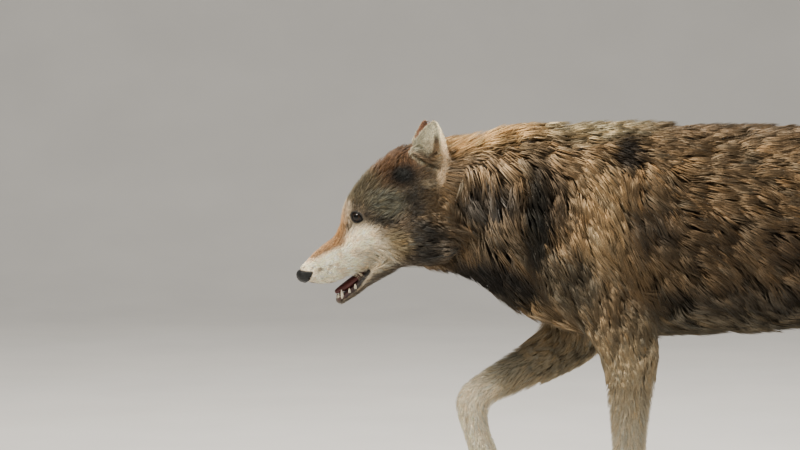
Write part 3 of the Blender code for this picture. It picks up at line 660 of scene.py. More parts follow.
def sweep(rows, sides, closed=False, centre=None):
    """Triangles of a round rod through rows of x, y, z, radius; closed rods run back to their start."""
    rows = np.array(rows, float)
    places, count = rows[:, :3], len(rows)
    ahead, behind = np.roll(places, -1, 0), np.roll(places, 1, 0)
    if not closed:
        ahead[-1], behind[0] = places[-1], places[0]
    tangents = ahead - behind
    tangents /= np.linalg.norm(tangents, axis=1, keepdims=True)
    up = places - centre if centre is not None else np.cross(tangents, (0.0, 1.0, 0.0))
    up = up - tangents * (up * tangents).sum(1, keepdims=True)
    up /= np.linalg.norm(up, axis=1, keepdims=True)
    side = np.cross(tangents, up)
    angles = np.arange(sides) * 2 * np.pi / sides
    circle = np.cos(angles)[:, None] * up[:, None] + np.sin(angles)[:, None] * side[:, None]
    points = (places[:, None] + circle * rows[:, 3, None, None]).reshape(-1, 3)
    a, b, c, d = patches(count, sides, closed)
    faces = np.stack([a, b, c, b, d, c], 1).reshape(-1, 3)
    if closed:
        return points, faces
    return np.vstack([points, places[0], places[-1]]), np.vstack([faces, end_caps(count, sides)])


def paint(obj, colours):
    """Stores a colour for each vertex."""
    layer = obj.data.color_attributes.new("Coat", "FLOAT_COLOR", "POINT")
    rgba = np.ones((len(obj.data.vertices), 4), np.float32)
    rgba[:, : colours.shape[1]] = colours
    layer.data.foreach_set("color", rgba.ravel())


# ---------- noise, colours and markings


def noise(points, size, seed):
    """Smooth noise from about -1 to 1 whose bumps are about that size, in metres."""
    source = np.random.default_rng(seed)
    ways = source.normal(size=(14, 3))
    ways /= np.linalg.norm(ways, axis=1, keepdims=True)
    waves = ways * 2 * np.pi / size * source.uniform(0.5, 1.3, (14, 1))
    shift = source.uniform(0, 2 * np.pi, 14)
    return np.sin(points @ waves.T + shift).sum(1) * 0.3


def step(value, low, high):
    """0 below low, 1 above high, smooth between."""
    t = np.clip((value - low) / (high - low), 0, 1)
    return t * t * (3 - 2 * t)


def mixed(colours, other, share):
    """The colours, with others blended in by a share for each point."""
    return colours + np.subtract(other, colours) * share[:, None]


def marked(colours, points, marks):
    """The colours, with each mark's blended in within its ellipsoid, fading from its core to its edge."""
    for middle, radii, colour, strength in marks:
        away = np.linalg.norm((points - middle) / radii, axis=1)
        colours = mixed(colours, colour, strength * (1 - step(away, 1 - MARK_EDGE, 1)))
    return colours


WHITE = (0.94, 0.81, 0.6)
TAN = (0.2, 0.135, 0.072)
BLACK = (0.022, 0.019, 0.016)
RUST = (0.31, 0.158, 0.058)
HEAD_COAT = (0.095, 0.073, 0.05)
LEG_COAT = (0.3, 0.24, 0.15)
FOOT_COAT = (0.6, 0.54, 0.41)
# Painted shade for the inner sides of the upper legs.
INNER_ARM_SHADE = (0.135, 0.118, 0.08)
EAR_BACK = (0.16, 0.075, 0.04)
EAR_HOLLOW = (0.36, 0.335, 0.235)
EAR_FOLD_SHADOW = (0.012, 0.01, 0.008)
EAR_TUFT = (0.55, 0.48, 0.34)
EAR_RIM_PALE_AND_LIT = (0.92, 0.72, 0.48)
LIP = (0.008, 0.007, 0.0065)
MOUTH_FLESH = (0.03, 0.01, 0.009)
MARK_EDGE = 0.6  # the share of a mark's radius over which it fades

# Markings and painted shade, with painted light on the lifted leg: middle, half-sizes, colour, strength.
# Except on the lifted leg, they are on both sides, and the middle's y is its distance from the centre.
BODY_MARKS_AND_SHADE = (
    ((0.2, 0.13, 0.62), (0.55, 0.12, 0.16), (0.078, 0.054, 0.031), 0.95),  # flank, darkened in part with painted shade
    ((0.12, 0.1, 0.48), (0.46, 0.18, 0.095), (0.026, 0.02, 0.014), 0.97),  # painted shade on the lower flank and belly
    ((-0.02, 0.06, 0.47), (0.1, 0.14, 0.05), (0.036, 0.027, 0.018), 0.85),  # painted shade behind the elbow
    ((0.25, 0.0, 0.83), (0.6, 0.11, 0.07), (0.135, 0.093, 0.053), 0.9),  # back
    ((-0.36, 0.0, 0.82), (0.17, 0.12, 0.09), (0.42, 0.262, 0.11), 0.95),  # nape
    ((-0.17, 0.0, 0.83), (0.15, 0.13, 0.08), (0.27, 0.212, 0.118), 0.95),  # withers
    ((-0.4, 0.12, 0.745), (0.12, 0.11, 0.04), (0.25, 0.18, 0.11), 0.75),  # below the nape
    ((-0.365, 0.12, 0.672), (0.09, 0.11, 0.062), (0.062, 0.053, 0.043), 0.94),  # mane
    ((-0.345, 0.11, 0.605), (0.08, 0.1, 0.045), (0.078, 0.062, 0.043), 0.8),  # its lower edge
    ((-0.437, 0.09, 0.61), (0.055, 0.09, 0.06), (0.042, 0.034, 0.025), 0.9),  # painted shadow behind the ruff
    ((-0.385, 0.05, 0.55), (0.12, 0.12, 0.05), (0.013, 0.011, 0.009), 0.97),  # painted shadow on the throat
    ((-0.32, 0.04, 0.53), (0.1, 0.12, 0.058), (0.013, 0.011, 0.009), 0.97),  # painted shadow on the brisket
    ((-0.262, 0.12, 0.693), (0.045, 0.11, 0.1), (0.052, 0.038, 0.025), 0.9),  # darker patch in front of the shoulder, partly painted shadow
    ((-0.285, 0.12, 0.645), (0.034, 0.11, 0.14), (0.02, 0.018, 0.014), 1.0),  # dark band behind the mane, partly painted shadow
    ((-0.17, 0.13, 0.655), (0.056, 0.11, 0.15), (0.31, 0.215, 0.115), 0.95),  # ridge of the shoulder
    ((-0.225, 0.12, 0.545), (0.085, 0.1, 0.075), (0.052, 0.044, 0.031), 0.92),  # upper arm
    ((-0.118, 0.1, 0.775), (0.034, 0.12, 0.056), (0.02, 0.016, 0.012), 0.97),  # dark patch behind the withers, partly painted shadow
    ((-0.085, 0.12, 0.64), (0.06, 0.1, 0.06), (0.048, 0.037, 0.026), 0.8),  # darker coat behind the shoulder, partly painted shade
    ((0.09, 0.12, 0.7), (0.14, 0.1, 0.055), (0.16, 0.105, 0.054), 0.6),  # ribs
    ((0.18, 0.12, 0.6), (0.11, 0.1, 0.045), (0.045, 0.031, 0.02), 0.6),  # fold of the flank
    ((0.43, 0.1, 0.64), (0.16, 0.09, 0.11), (0.15, 0.102, 0.056), 0.6),  # haunch
)
LIFTED_LEG_SHADE_AND_LIGHT = (
    ((-0.345, 0.065, 0.39), (0.065, 0.07, 0.04), (0.24, 0.215, 0.155), 0.85),  # painted shade on the forearm
    ((-0.395, 0.065, 0.25), (0.085, 0.07, 0.19), (0.8, 0.715, 0.55), 0.85),  # pale wrist and below, paler still with painted light
)
HEAD_MARKS_AND_SHADE = (
    ((-0.545, 0.03, 0.76), (0.08, 0.12, 0.065), (0.08, 0.043, 0.021), 0.97),  # crown
    ((-0.588, 0.02, 0.715), (0.054, 0.1, 0.052), (0.062, 0.05, 0.029), 0.97),  # forehead
    ((-0.552, 0.07, 0.69), (0.05, 0.06, 0.038), (0.085, 0.082, 0.06), 0.95),  # temple
    ((-0.485, 0.08, 0.7), (0.05, 0.08, 0.045), (0.036, 0.033, 0.027), 0.92),  # painted shadow behind the temple, under the ear
    ((-0.523, 0.08, 0.739), (0.038, 0.08, 0.032), (0.009, 0.009, 0.008), 1.0),  # in front of the ear
    ((-0.485, 0.09, 0.635), (0.045, 0.08, 0.085), (0.034, 0.031, 0.026), 0.94),  # painted shadow at the edge of the ruff
    ((-0.474, 0.09, 0.722), (0.026, 0.06, 0.013), (0.3, 0.26, 0.18), 0.85),  # below the ear's hollow
    ((-0.55, 0.0, 0.56), (0.075, 0.12, 0.045), (0.075, 0.06, 0.044), 0.92),  # painted shade on the throat, under the jaw
    ((-0.534, 0.07, 0.618), (0.036, 0.06, 0.04), (0.31, 0.24, 0.135), 0.92),  # back of the cheek
    ((-0.64, 0.0, 0.582), (0.1, 0.12, 0.062), WHITE, 1.0),  # muzzle
    ((-0.59, 0.05, 0.615), (0.062, 0.06, 0.052), WHITE, 1.0),  # cheek
    ((-0.562, 0.05, 0.594), (0.048, 0.07, 0.036), (0.66, 0.58, 0.43), 0.95),  # corner of the mouth
    ((-0.602, 0.0, 0.522), (0.05, 0.05, 0.03), (0.16, 0.13, 0.095), 0.92),  # chin
    ((-0.622, 0.0, 0.655), (0.022, 0.034, 0.028), (0.36, 0.265, 0.165), 0.9),  # stop
    ((-0.617, 0.022, 0.674), (0.02, 0.026, 0.032), (0.42, 0.35, 0.25), 0.85),  # in front of the eye
    ((-0.556, 0.06, 0.659), (0.044, 0.05, 0.01), (0.02, 0.018, 0.014), 0.85),  # line behind the eye
)
EYE_MARKS = (
    ((-0.617, 0.0315, 0.649), (0.01, 0.012, 0.006), BLACK, 0.85),  # tear line
    ((-0.583, 0.045, 0.67), (0.012, 0.014, 0.006), BLACK, 0.6),  # outer corner
)
RUST_EDGE = (-0.675, 0.588, 0.52)  # the rust patch on the bridge: x, z and slope of its lower edge
CREASE_SHADE = 0.6
HEAD_FROM = (0.46, 0.5)  # the heights from which the head's colours are used, in front and further back


def body_colours(points):
    """Colours of the coat on trunk, neck, legs and tail."""
    x, y, z = points.T
    colours = marked(np.tile(TAN, (len(points), 1)), one_sided(points), BODY_MARKS_AND_SHADE)
    leg = (1 - step(z, 0.36, 0.54)) * (1 - step(x, 0.585, 0.6) * step(z, 0.28, 0.32))
    pale = mixed(LEG_COAT, FOOT_COAT, 1 - step(z, 0.2, 0.42))
    # Painted shade on the inner sides of the upper legs.
    inner = step(0.088 - np.abs(y), 0.0, 0.02) * step(z, 0.35, 0.39)
    pale = mixed(pale, INNER_ARM_SHADE, inner * 0.9)
    colours = marked(mixed(colours, pale, 0.92 * leg), points, LIFTED_LEG_SHADE_AND_LIGHT)
    for paw in PAWS:
        place = paw_place(points, paw)
        ahead, sideways, height = -place[:, 0], np.abs(place[:, 1]), place[:, 2]
        between = np.abs(place[:, 1:2] - TOE_CREASES).min(1)
        crease = (1 - step(between, 0.0012, 0.0045)) * step(ahead, 0.018, 0.03) * (height > 0)
        near = (sideways < 0.05) & (ahead < 0.1) & (height < 0.05)
        colours = colours * (1 - CREASE_SHADE * crease * near)[:, None]
    tail = step(x, 0.575, 0.6) * step(z, 0.3, 0.34) * (1 - step(z, 0.7, 0.76))
    return mixed(colours, mixed(TAN, BLACK, 1 - step(z, 0.36, 0.44)), tail * 0.9)


def ear_colours(face, place):
    """Dark fur on the ear's back, paler skin and hair in its hollow, a slot of painted shadow and a pale rim
    with painted light.
    """
    height, u, off = place
    # Painted shadow in the slot of the ear's fold.
    slot = step(-u, 0.05, 0.18) * (1 - step(-u, 0.4, 0.52))
    slot = slot * step(height, 0.26, 0.38) * (1 - step(height, 0.7, 0.85))
    hollow = mixed(mixed(EAR_HOLLOW, EAR_FOLD_SHADOW, slot), EAR_TUFT, ear_hair(face)[1])
    # Painted light on the rim, over its pale coat.
    rim = step(-u, 0.52, 0.68) * (off > -0.002)
    return mixed(np.where((off > 0)[:, None], hollow, EAR_BACK), EAR_RIM_PALE_AND_LIT, rim * 0.95)


def head_colours(face):
    own = one_sided(face)
    x, _, z = face.T
    colours = marked(np.tile(HEAD_COAT, (len(face), 1)), own, HEAD_MARKS_AND_SHADE)
    over = z - RUST_EDGE[1] - (x - RUST_EDGE[0]) * RUST_EDGE[2]
    rust = step(over, -0.005, 0.007) * step(x, -0.692, -0.68) * (1 - step(x, -0.628, -0.61))
    colours = mixed(colours, RUST, 0.9 * rust)
    dots = step(noise(face, 0.011, 51), 0.55, 1.2)
    dots = dots * (1 - step(z, 0.575, 0.595)) * (1 - step(x, -0.635, -0.6))
    colours = colours * (1 - 0.62 * dots)[:, None]
    colours = colours * (1 - 0.22 * step(noise(face, 0.022, 52), 0.0, 1.2))[:, None]
    place = nearer_ear_place(face)
    height, u, off = place
    on_ear = step(height - ear_foot(u), -0.05, 0.05) * (1 - step(np.abs(off), 0.01, 0.016))
    colours = mixed(colours, ear_colours(face, place), on_ear * (np.abs(u) < 1.3))
    radius, almond = eye_opening(own)
    rimmed = (1 - step(almond, 1.4, 2.2)) * (radius < 2.2 * EYE_RADIUS)
    return marked(mixed(colours, BLACK, rimmed), own, EYE_MARKS)


def coat_colours(points):
    """The coat's colour over skin points, markings included."""
    x, _, z = points.T
    ahead = step(-x, 0.42, 0.5) * (z > HEAD_FROM[0])
    off_trunk = step(chains_distance(BODY_CHAINS[:1], points, False), -0.01, 0.03)
    share = np.maximum(ahead, off_trunk * step(-x, 0.38, 0.44) * (z > HEAD_FROM[1]))[:, None]
    return body_colours(points) * (1 - share) + head_colours(unturned(points)) * share


# ---------- skin


HEAD_CELL = 0.0023
BODY_CELL = 0.0068
PAW_CELL = 0.0029
BODY_BOX = ((-0.46, -0.22, -0.03), (0.74, 0.22, 0.88))
HEAD_BOX = ((-0.73, -0.2, 0.42), (-0.37, 0.16, 0.88))
NECK_BOX = ((-0.5, -0.3, 0.45), (-0.36, 0.3, 0.9))
NECK_CUT = -0.402
CUT_GAP = 0.002
PAW_CUTS = dict(zip(PAWS, (0.088, 0.232, 0.082, 0.082)))  # the heights where the paws' own grids end
PAW_REACH = 0.115
PAW_DEPTH = 0.17
PAW_HALF_WIDTH = 0.075


def open_mesh(points, quads):
    shape = bmesh.new()
    mesh = bpy.data.meshes.new("part")
    mesh.from_pydata([tuple(p) for p in points], [], [tuple(q) for q in quads])
    shape.from_mesh(mesh)
    bpy.data.meshes.remove(mesh)
    return shape


def cut_off(shape, place, outward, low=None, high=None):
    """Cuts away what lies past a plane, within a box if one is given, and leaves the cut open."""
    place, outward = Vector(place), Vector(outward)

    def near():
        middles = [(face, face.calc_center_median()) for face in shape.faces]
        if low is None:
            return middles
        return [(f, co) for f, co in middles if all(a <= c <= b for a, c, b in zip(low, co, high))]

    faces = [face for face, _ in near()]
    edges = list({e for f in faces for e in f.edges})
    verts = list({v for f in faces for v in f.verts})
    geometry = faces + edges + verts
    bmesh.ops.bisect_plane(shape, geom=geometry, dist=1e-6, plane_co=place, plane_no=outward)
    gone = [face for face, middle in near() if (middle - place).dot(outward) > 0]
    bmesh.ops.delete(shape, geom=gone, context="FACES")


def skin_mesh():
    """Points and triangles of the whole skin: body, head and paws from grids of their own, joined."""
    whole = open_mesh(*net(skin_form, *BODY_BOX, BODY_CELL))
    cut_off(whole, (NECK_CUT + CUT_GAP, 0, 0), (-1, 0, 0), *NECK_BOX)
    head = open_mesh(*net(skin_form, *HEAD_BOX, HEAD_CELL))
    cut_off(head, (NECK_CUT - CUT_GAP, 0, 0), (1, 0, 0))
    pieces = [head]
    for paw, cut in PAW_CUTS.items():
        x, y, _ = PAWS[paw][0]
        bottom = max(cut - PAW_DEPTH, 0)
        low = (x - PAW_REACH, y - PAW_HALF_WIDTH, bottom - 0.02)
        high = (x + PAW_REACH, y + PAW_HALF_WIDTH, cut + 0.02)
        part = open_mesh(*net(skin_form, low, high, PAW_CELL))
        cut_off(part, (0, 0, cut - CUT_GAP), (0, 0, 1))
        pieces.append(part)
        cut_off(whole, (0, 0, cut), (0, 0, -1), low, high)
    mesh = bpy.data.meshes.new("part")
    for part in pieces:
        part.to_mesh(mesh)
        whole.from_mesh(mesh)
        part.free()
    bpy.data.meshes.remove(mesh)
    join_rims(whole)
    bmesh.ops.triangulate(whole, faces=whole.faces)
    bmesh.ops.recalc_face_normals(whole, faces=whole.faces)
    points = np.array([v.co for v in whole.verts])
    whole.verts.index_update()
    faces = np.array([[v.index for v in f.verts] for f in whole.faces])
    whole.free()
    return points, faces


def rims(shape):
    """The open rims, each as its edges and their middle."""
    left = {e for e in shape.edges if e.is_boundary}
    found = []
    while left:
        chain, ends = [], [left.pop()]
        while ends:
            edge = ends.pop()
            chain.append(edge)
            for vert in edge.verts:
                near = [e for e in vert.link_edges if e in left]
                left.difference_update(near)
                ends += near
        middle = sum((v.co for e in chain for v in e.verts), Vector()) / (2 * len(chain))
        found.append((chain, middle))
    return found


def join_rims(shape):
    """Closes the gap between each pair of facing rims."""
    open_rims = sorted(rims(shape), key=lambda rim: -len(rim[0]))
    while len(open_rims) > 1:
        chain, middle = open_rims.pop(0)
        other = min(open_rims, key=lambda rim: (rim[1] - middle).length)
        open_rims.remove(other)
        bmesh.ops.bridge_loops(shape, edges=chain + other[0])


# ---------- lie of the coat

TORSO_LIE = (1.0, 0.0, -0.45)
LEG_LIE = (0.25, 0.0, -1.0)
CHEEK_DROOP = (0.0, 0.0, -0.55)


def droop(x, z):
    """How steeply the coat hangs: little on the back, more down the flank, most on neck and shoulder."""
    trunk = 0.28 + 1.3 * step(0.66 - z, 0.0, 0.14)
    front = 0.25 + 2.4 * step(0.8 - z, 0.015, 0.075)
    return trunk + (front - trunk) * step(-x, 0.04, 0.13)


def weighted_ways(chains, points):
    total, nearest = np.zeros((len(points), 3)), np.full(len(points), FAR)
    for chain, _ in chains:
        if not chain.lies:
            continue
        distance, way = chain.distance(points, True)
        total += way * np.exp(-np.clip(distance, -0.03, FAR) / LIE_SPREAD)[:, None]
        nearest = np.minimum(nearest, distance)
    return unit(total), nearest


def unit(vectors):
    return vectors / np.maximum(np.linalg.norm(vectors, axis=1, keepdims=True), 1e-9)


def lie_of(points, normals):
    """The way that the coat lies at each skin point."""
    body, body_near = weighted_ways(BODY_CHAINS, points)
    x, _, z = points.T
    torso = (step(z, 0.42, 0.56) * (1 - step(x, 0.49, 0.55)))[:, None]
    drape = unit(np.stack([np.ones(len(x)), np.zeros(len(x)), -droop(x, z)], 1))
    body = unit(body * (1 - torso) + drape * torso)
    face = unturned(points)
    head, head_near = weighted_ways(HEAD_CHAINS, face)
    side = np.sign(face[:, 1])
    height, u, off = nearer_ear_place(face)
    ear = (step(height, 0.03, 0.12) * (1 - step(np.abs(off), 0.008, 0.014)) * (np.abs(u) < 1.3))[:, None]
    _, up, _, across_ear, _ = ear_axes("left")
    upward = up + across_ear * (u * 0.45)[:, None]
    inner = ear_hair(face)[1][:, None]
    above = (height - ear_foot(u))[:, None]
    upward = upward * (1 - inner) + (up * (above * 3.0 - 0.25) - across_ear) * inner
    upward[:, 1] *= side
    cheek = (step(np.abs(face[:, 1]), 0.03, 0.08) * step(face[:, 0], -0.56, -0.48))[:, None]
    head = unit(head + CHEEK_DROOP * cheek)
    head = unit(head * (1 - ear) + upward * ear) @ HEAD_OUT[:3, :3].T
    share = step(body_near - head_near, -0.012, 0.012)[:, None]
    way = body * (1 - share) + head * share
    flat = way - normals * (way * normals).sum(1, keepdims=True)
    curly = step(z, 0.44, 0.54) * (1 - share[:, 0])
    turn = (0.14 + 0.06 * curly) * noise(points, 0.055, 21)
    turn = turn + (0.08 + 0.12 * curly) * noise(points, 0.022, 22)
    across_way = np.cross(normals, unit(flat))
    return unit(unit(flat) * np.cos(turn)[:, None] + across_way * np.sin(turn)[:, None])


def paw_place(points, paw):
    """The points in a paw's own frame."""
    return moved(points, np.array(paw_matrix(paw).inverted()))


def bare_share(points):
    """1 on lips, nose, eyelids and pads, where no hair grows, and 0 on the coat."""
    face = unturned(points)
    on_jaw = face[:, 2] < 0.569 + 0.59 * (face[:, 0] + 0.583)
    lips = 1 - step(mouth_room(face) - np.where(on_jaw, 0.0055, 0.0), 0.0012, 0.0028)
    radius, almond = eye_opening(one_sided(face))
    lids = (1 - step(almond, 1.15, 1.45)) * (radius < 2.2 * EYE_RADIUS)
    nose = 1 - step(outline_distance(NOSE, face[:, [0, 2]]), -0.0005, 0.0015)
    bare = np.maximum(np.maximum(lips, lids), nose)
    for paw in PAWS:
        place = paw_place(points, paw)
        under = 1 - step(place[:, 2], 0.0035, 0.0075)
        near = (np.abs(place[:, 0] + 0.01) < 0.1) & (np.abs(place[:, 1]) < 0.06) & (place[:, 2] > -0.02)
        bare = np.maximum(bare, under * near)
    return bare


# ---------- tufts

PATCH = 0.003  # side of a tuft's patch on the unwrap
LONG_HAIR = 0.0105  # the coat's depth over which tufts are bent
RIDGE = 0.024  # from one ridge of the long coat to the next
RIDGE_LIMIT = 1.6
COAT_DEPTHS = (0.0015, 0.06)  # the least and the most
LENGTHS = (0.78, 1.15)  # a tuft's own length and width, as shares of those that its place gives
WIDTHS = (0.75, 1.25)
TURNS = (0.08, 0.09, 0.09)  # how far, in radians, it turns by itself, with its clump and with its lock
PULLS = (0.2, 0.4)  # how far its tip is drawn towards its lock's leader, and then to its clump's
MIDDLE_PULL = 0.4
PROBE = 0.004
SUNK_ROOT = 0.0006
RAISED_SHARE = 0.03  # of tufts that stand out of the coat
ROOT_LIFT = 0.3  # how far the two lower corners of a ring are below its middle


def vertex_normals(points, faces):
    a, b, c = (points[faces[:, corner]] for corner in range(3))
    across_face = np.cross(b - a, c - a)
    total = np.zeros_like(points)
    for corner in range(3):
        np.add.at(total, faces[:, corner], across_face)
    return unit(total), np.linalg.norm(across_face, axis=1) / 2


def hair_length(depth):
    return 0.0035 + 1.75 * depth


def hair_width(length):
    return 0.0005 + 0.033 * length


def ear_hair(face):
    """Shares by which the coat is kept low in front of the ears' roots, and grows long inside them."""
    height, u, off = nearer_ear_place(face)
    away = np.linalg.norm(one_sided(face) - EARS["left"][0], axis=1)
    low = 0.85 * (1 - step(away, 0.045, 0.085)) * (0.55 + 0.45 * step(off, -0.006, 0.006))
    inside = (off > 0) * (off < 0.008) * (np.abs(u) < 0.95)
    above = height - ear_foot(u)
    low = np.maximum(low, 0.7 * step(above, 0.15, 0.4) * (np.abs(off) < 0.016) * (np.abs(u) < 1.3))
    inner = inside * step(u, -0.75, -0.35) * step(above, -0.06, 0.02) * (1 - step(above, 0.08, 0.2))
    return low, inner


def ear_foot(u):
    """Where the head's own coat ends on the ear, as a share of its height: lower at its rear edge."""
    return 0.08 + 0.19 * (1 + u)


class Skin:
    """The skin's mesh with what the coat needs to know at each of its points."""

    def __init__(self, points, faces, places):
        self.points, self.faces, self.places = points, faces, places
        self.normals, self.areas = vertex_normals(points, faces)
        deep = np.clip(-outer_form(points), *COAT_DEPTHS)
        low, inner = ear_hair(unturned(points))
        self.under = low * np.maximum(deep - 0.004, 0) - 0.008 * inner  # from the outer form to the tips
        self.depth = deep - np.maximum(self.under, 0)
        self.length = hair_length(self.depth) * (1 - 0.6 * low) + 0.02 * inner
        self.lie = lie_of(points, self.normals)
        self.bare = bare_share(points)
        self.colours = coat_colours(points)

    def sown(self, density, grows):
        """Roots scattered over the faces that grow hair: each one's face, and its corners' weights."""
        counts = RANDOM.poisson(self.areas * density * grows)
        at = np.repeat(np.arange(len(self.faces)), counts)
        a, b = RANDOM.random((2, len(at)))
        over = a + b > 1
        a[over], b[over] = 1 - a[over], 1 - b[over]
        return at, np.stack([1 - a - b, a, b], 1)

    def at(self, values, face, share):
        """Values of the skin's points, at places on its faces."""
        weights = share if values.ndim == 1 else share[:, :, None]
        return sum(values[self.faces[face, i]] * weights[:, i] for i in range(3))


def face_mean(skin, values):
    return values[skin.faces].mean(1)


def to_level(points, along, level):
    """Points slid along a direction until they are at a level above the coat's outer form."""
    for _ in range(2):
        here = outer_form(points)
        there = outer_form(points + along * PROBE)
        slope = np.clip((there - here) / PROBE, 0.35, 1.2)
        points = points + along * np.clip((level - here) / slope, -0.03, 0.03)[:, None]
    return points


def nearest_clump(roots, centres):
    """For each root, the nearest of those that lead a clump."""
    tree = KDTree(len(centres))
    for i, centre in enumerate(roots[centres]):
        tree.insert(centre, i)
    tree.balance()
    return centres[np.array([tree.find(root)[1] for root in roots])]


def streaks(points, size, seed):
    """Wavy noise drawn out along the lie of the coat: backwards on the trunk, down on neck and legs."""
    back = step(points[:, 2], 0.42, 0.52) * step(points[:, 0], -0.2, -0.06)
    wavy = points + 0.007 * np.stack([noise(points, 0.06, seed + n) for n in (1, 2, 3)], 1)
    found = 0
    for way, share in ((TORSO_LIE, back), (LEG_LIE, 1 - back)):
        way = way / np.linalg.norm(way)
        found = found + share * noise(wavy - 0.72 * (wavy @ way)[:, None] * way, size, seed)
    return found


def tufts(skin, long, cover, lock, clump):
    """The tufts over the long-haired or the short-haired skin, gathered in locks and finer clumps.

    It gives root, middle, tip, half-width, lift, the three colours, and the face and place of each root.
    """
    depth, length = face_mean(skin, skin.depth), face_mean(skin, skin.length)
    width = hair_width(length)
    chosen = (depth > LONG_HAIR) == long
    grows = 1 - face_mean(skin, skin.bare) > 0.5
    face, share = skin.sown(cover / (length * width), chosen & grows)
    root = skin.at(skin.points, face, share)
    normal, lie = unit(skin.at(skin.normals, face, share)), unit(skin.at(skin.lie, face, share))
    deep = skin.at(skin.depth, face, share)
    count = len(root)
    chance = RANDOM.random(count)
    locks = nearest_clump(root, np.flatnonzero(chance < lock))
    clumps = nearest_clump(root, np.flatnonzero(chance > 1 - clump))
    ridge = step(deep, 0.006, 0.02) * (1 - 0.5 * step(root[:, 0], 0.25, 0.42))
    ridge = ridge * np.clip(streaks(root, RIDGE, 44), -RIDGE_LIMIT, RIDGE_LIMIT)
    furrow = step(-ridge, 0.0, 1.1)
    length = skin.at(skin.length, face, share) * RANDOM.uniform(*LENGTHS, count)
    width = hair_width(length) * RANDOM.uniform(*WIDTHS, count)
    jitter = RANDOM.normal(0, TURNS[0], count) + RANDOM.normal(0, TURNS[1], count)[clumps]
    jitter += RANDOM.normal(0, TURNS[2], count)[locks]
    lie = unit(lie * np.cos(jitter)[:, None] + np.cross(normal, lie) * np.sin(jitter)[:, None])
    sunk = 0.48 * furrow + RANDOM.uniform(-0.08, 0.16, count)
    raised = RANDOM.random(count) < RAISED_SHARE
    sunk = np.where(raised, -0.12, sunk) * deep + skin.at(skin.under, face, share)
    tip = to_level(root + lie * length[:, None] + normal * (0.8 * deep)[:, None], normal, -sunk)
    mid = root + lie * (0.42 * length)[:, None] + normal * ((0.72 - 0.3 * furrow) * deep)[:, None]
    for nearest, pull in zip((locks, clumps), PULLS):
        tip = tip + (tip[nearest] - tip) * pull
        mid = mid + (mid[nearest] - mid) * pull * MIDDLE_PULL
    side = unit(np.cross(normal, lie)) * (width / 2)[:, None]
    lift = normal * (width * 0.38)[:, None]
    colours = tuft_colours(coat_colours(0.4 * mid + 0.6 * tip), root, clumps, deep, ridge)
    return root - normal * SUNK_ROOT, mid, tip, side, lift, colours, face, share


def tuft_colours(base, root, clumps, deep, ridge):
    """Root, middle and tip colours: dark wool below, a pale band, and darker tips where the hair is long."""
    count = len(base)
    own, long = RANDOM.normal(0, 1, count), step(deep, 0.008, 0.022)
    # The ridge term paints shade into the long coat's furrows and light onto its ridges.
    grain = 0.12 * streaks(root, 0.055, 41) + 0.1 * streaks(root, 0.015, 42) + 0.38 * ridge
    light = 0.12 * RANDOM.normal(0, 1, count)[clumps] + 0.13 * own
    grey = (RANDOM.random(count) < 0.28) * (base.max(1) < 0.13) * step(-root[:, 0], 0.46, 0.5)
    light = np.exp((grain + light) * (0.55 + 0.45 * long) + 0.75 * grey)[:, None]
    warm = 1 + np.array((0.05, 0.0, -0.07)) * RANDOM.normal(0, 1, count)[clumps][:, None]
    middle = np.clip(base * light * warm * 1.15, 0.004, 0.9)
    dark_tip = step(streaks(root, 0.03, 43) + 0.5 * own[clumps], 0.3, 1.0) * 0.45 * long
    tip = middle * (1.18 - 0.12 * long)[:, None]
    tip = mixed(tip, BLACK, dark_tip)
    bottom = middle * (0.88 - 0.38 * long)[:, None]
    return np.stack([bottom, middle, tip], 1)


def tuft_piece(name, parts, skin, bent):
    """A mesh piece of tufts; bent ones have a ring in the middle, short ones stand on their widest part."""
    root, mid, tip, side, lift, colours, face, share = parts
    at = mid if bent else root
    ring = [at + side - lift * ROOT_LIFT, at - side - lift * ROOT_LIFT, at + lift]
    if bent:
        ends, shades = [root, *ring, tip], [0, 1, 1, 1, 2]
        pattern = np.array(((0, 1, 2), (0, 2, 3), (0, 3, 1), (4, 2, 1), (4, 3, 2), (4, 1, 3)))
        patch = np.array(((0.5, 0), (0, 0.45), (1, 0.45), (0.5, 0.45), (0.5, 1)))
    else:
        ends, shades = [*ring, tip], [0, 0, 1, 2]
        pattern = np.array(((0, 1, 2), (3, 1, 0), (3, 2, 1), (3, 0, 2)))
        patch = np.array(((0, 0), (1, 0), (0.5, 0.1), (0.5, 1)))
    faces = (np.arange(len(root))[:, None, None] * len(ends) + pattern).reshape(-1, 3)
    obj = new_object(name, np.stack(ends, 1).reshape(-1, 3), faces)
    paint(obj, colours[:, shades].reshape(-1, 3))
    place = (skin.places[face] * share[:, :, None]).sum(1)
    uv = place[:, None] + (patch - 0.5) * PATCH
    layer = obj.data.uv_layers.new(name="OFBake")
    layer.data.foreach_set("uv", uv.reshape(-1, 2)[faces.ravel()].astype(np.float32).ravel())
    return obj


def split(parts, count):
    """The tufts' arrays in so many pieces, front to back."""
    order = np.argsort(parts[0][:, 0], kind="stable")
    for share in np.array_split(order, count):
        yield [values[share] for values in parts]


# ---------- eyes, nose, mouth and claws

IRIS = math.radians(36)
PUPIL = math.radians(20)
# The iris is darkened with painted shade.
SHADED_IRIS_COLOUR = np.array((0.024, 0.011, 0.004))
EYE_WHITE = (0.02, 0.014, 0.011)
LIMBUS_WIDTH = 0.06
CORNEA_HEIGHT = 0.0009
CORNEA_SPREAD = 0.52
EYE_SPOKES = 72
LID_RIM = 0.00135

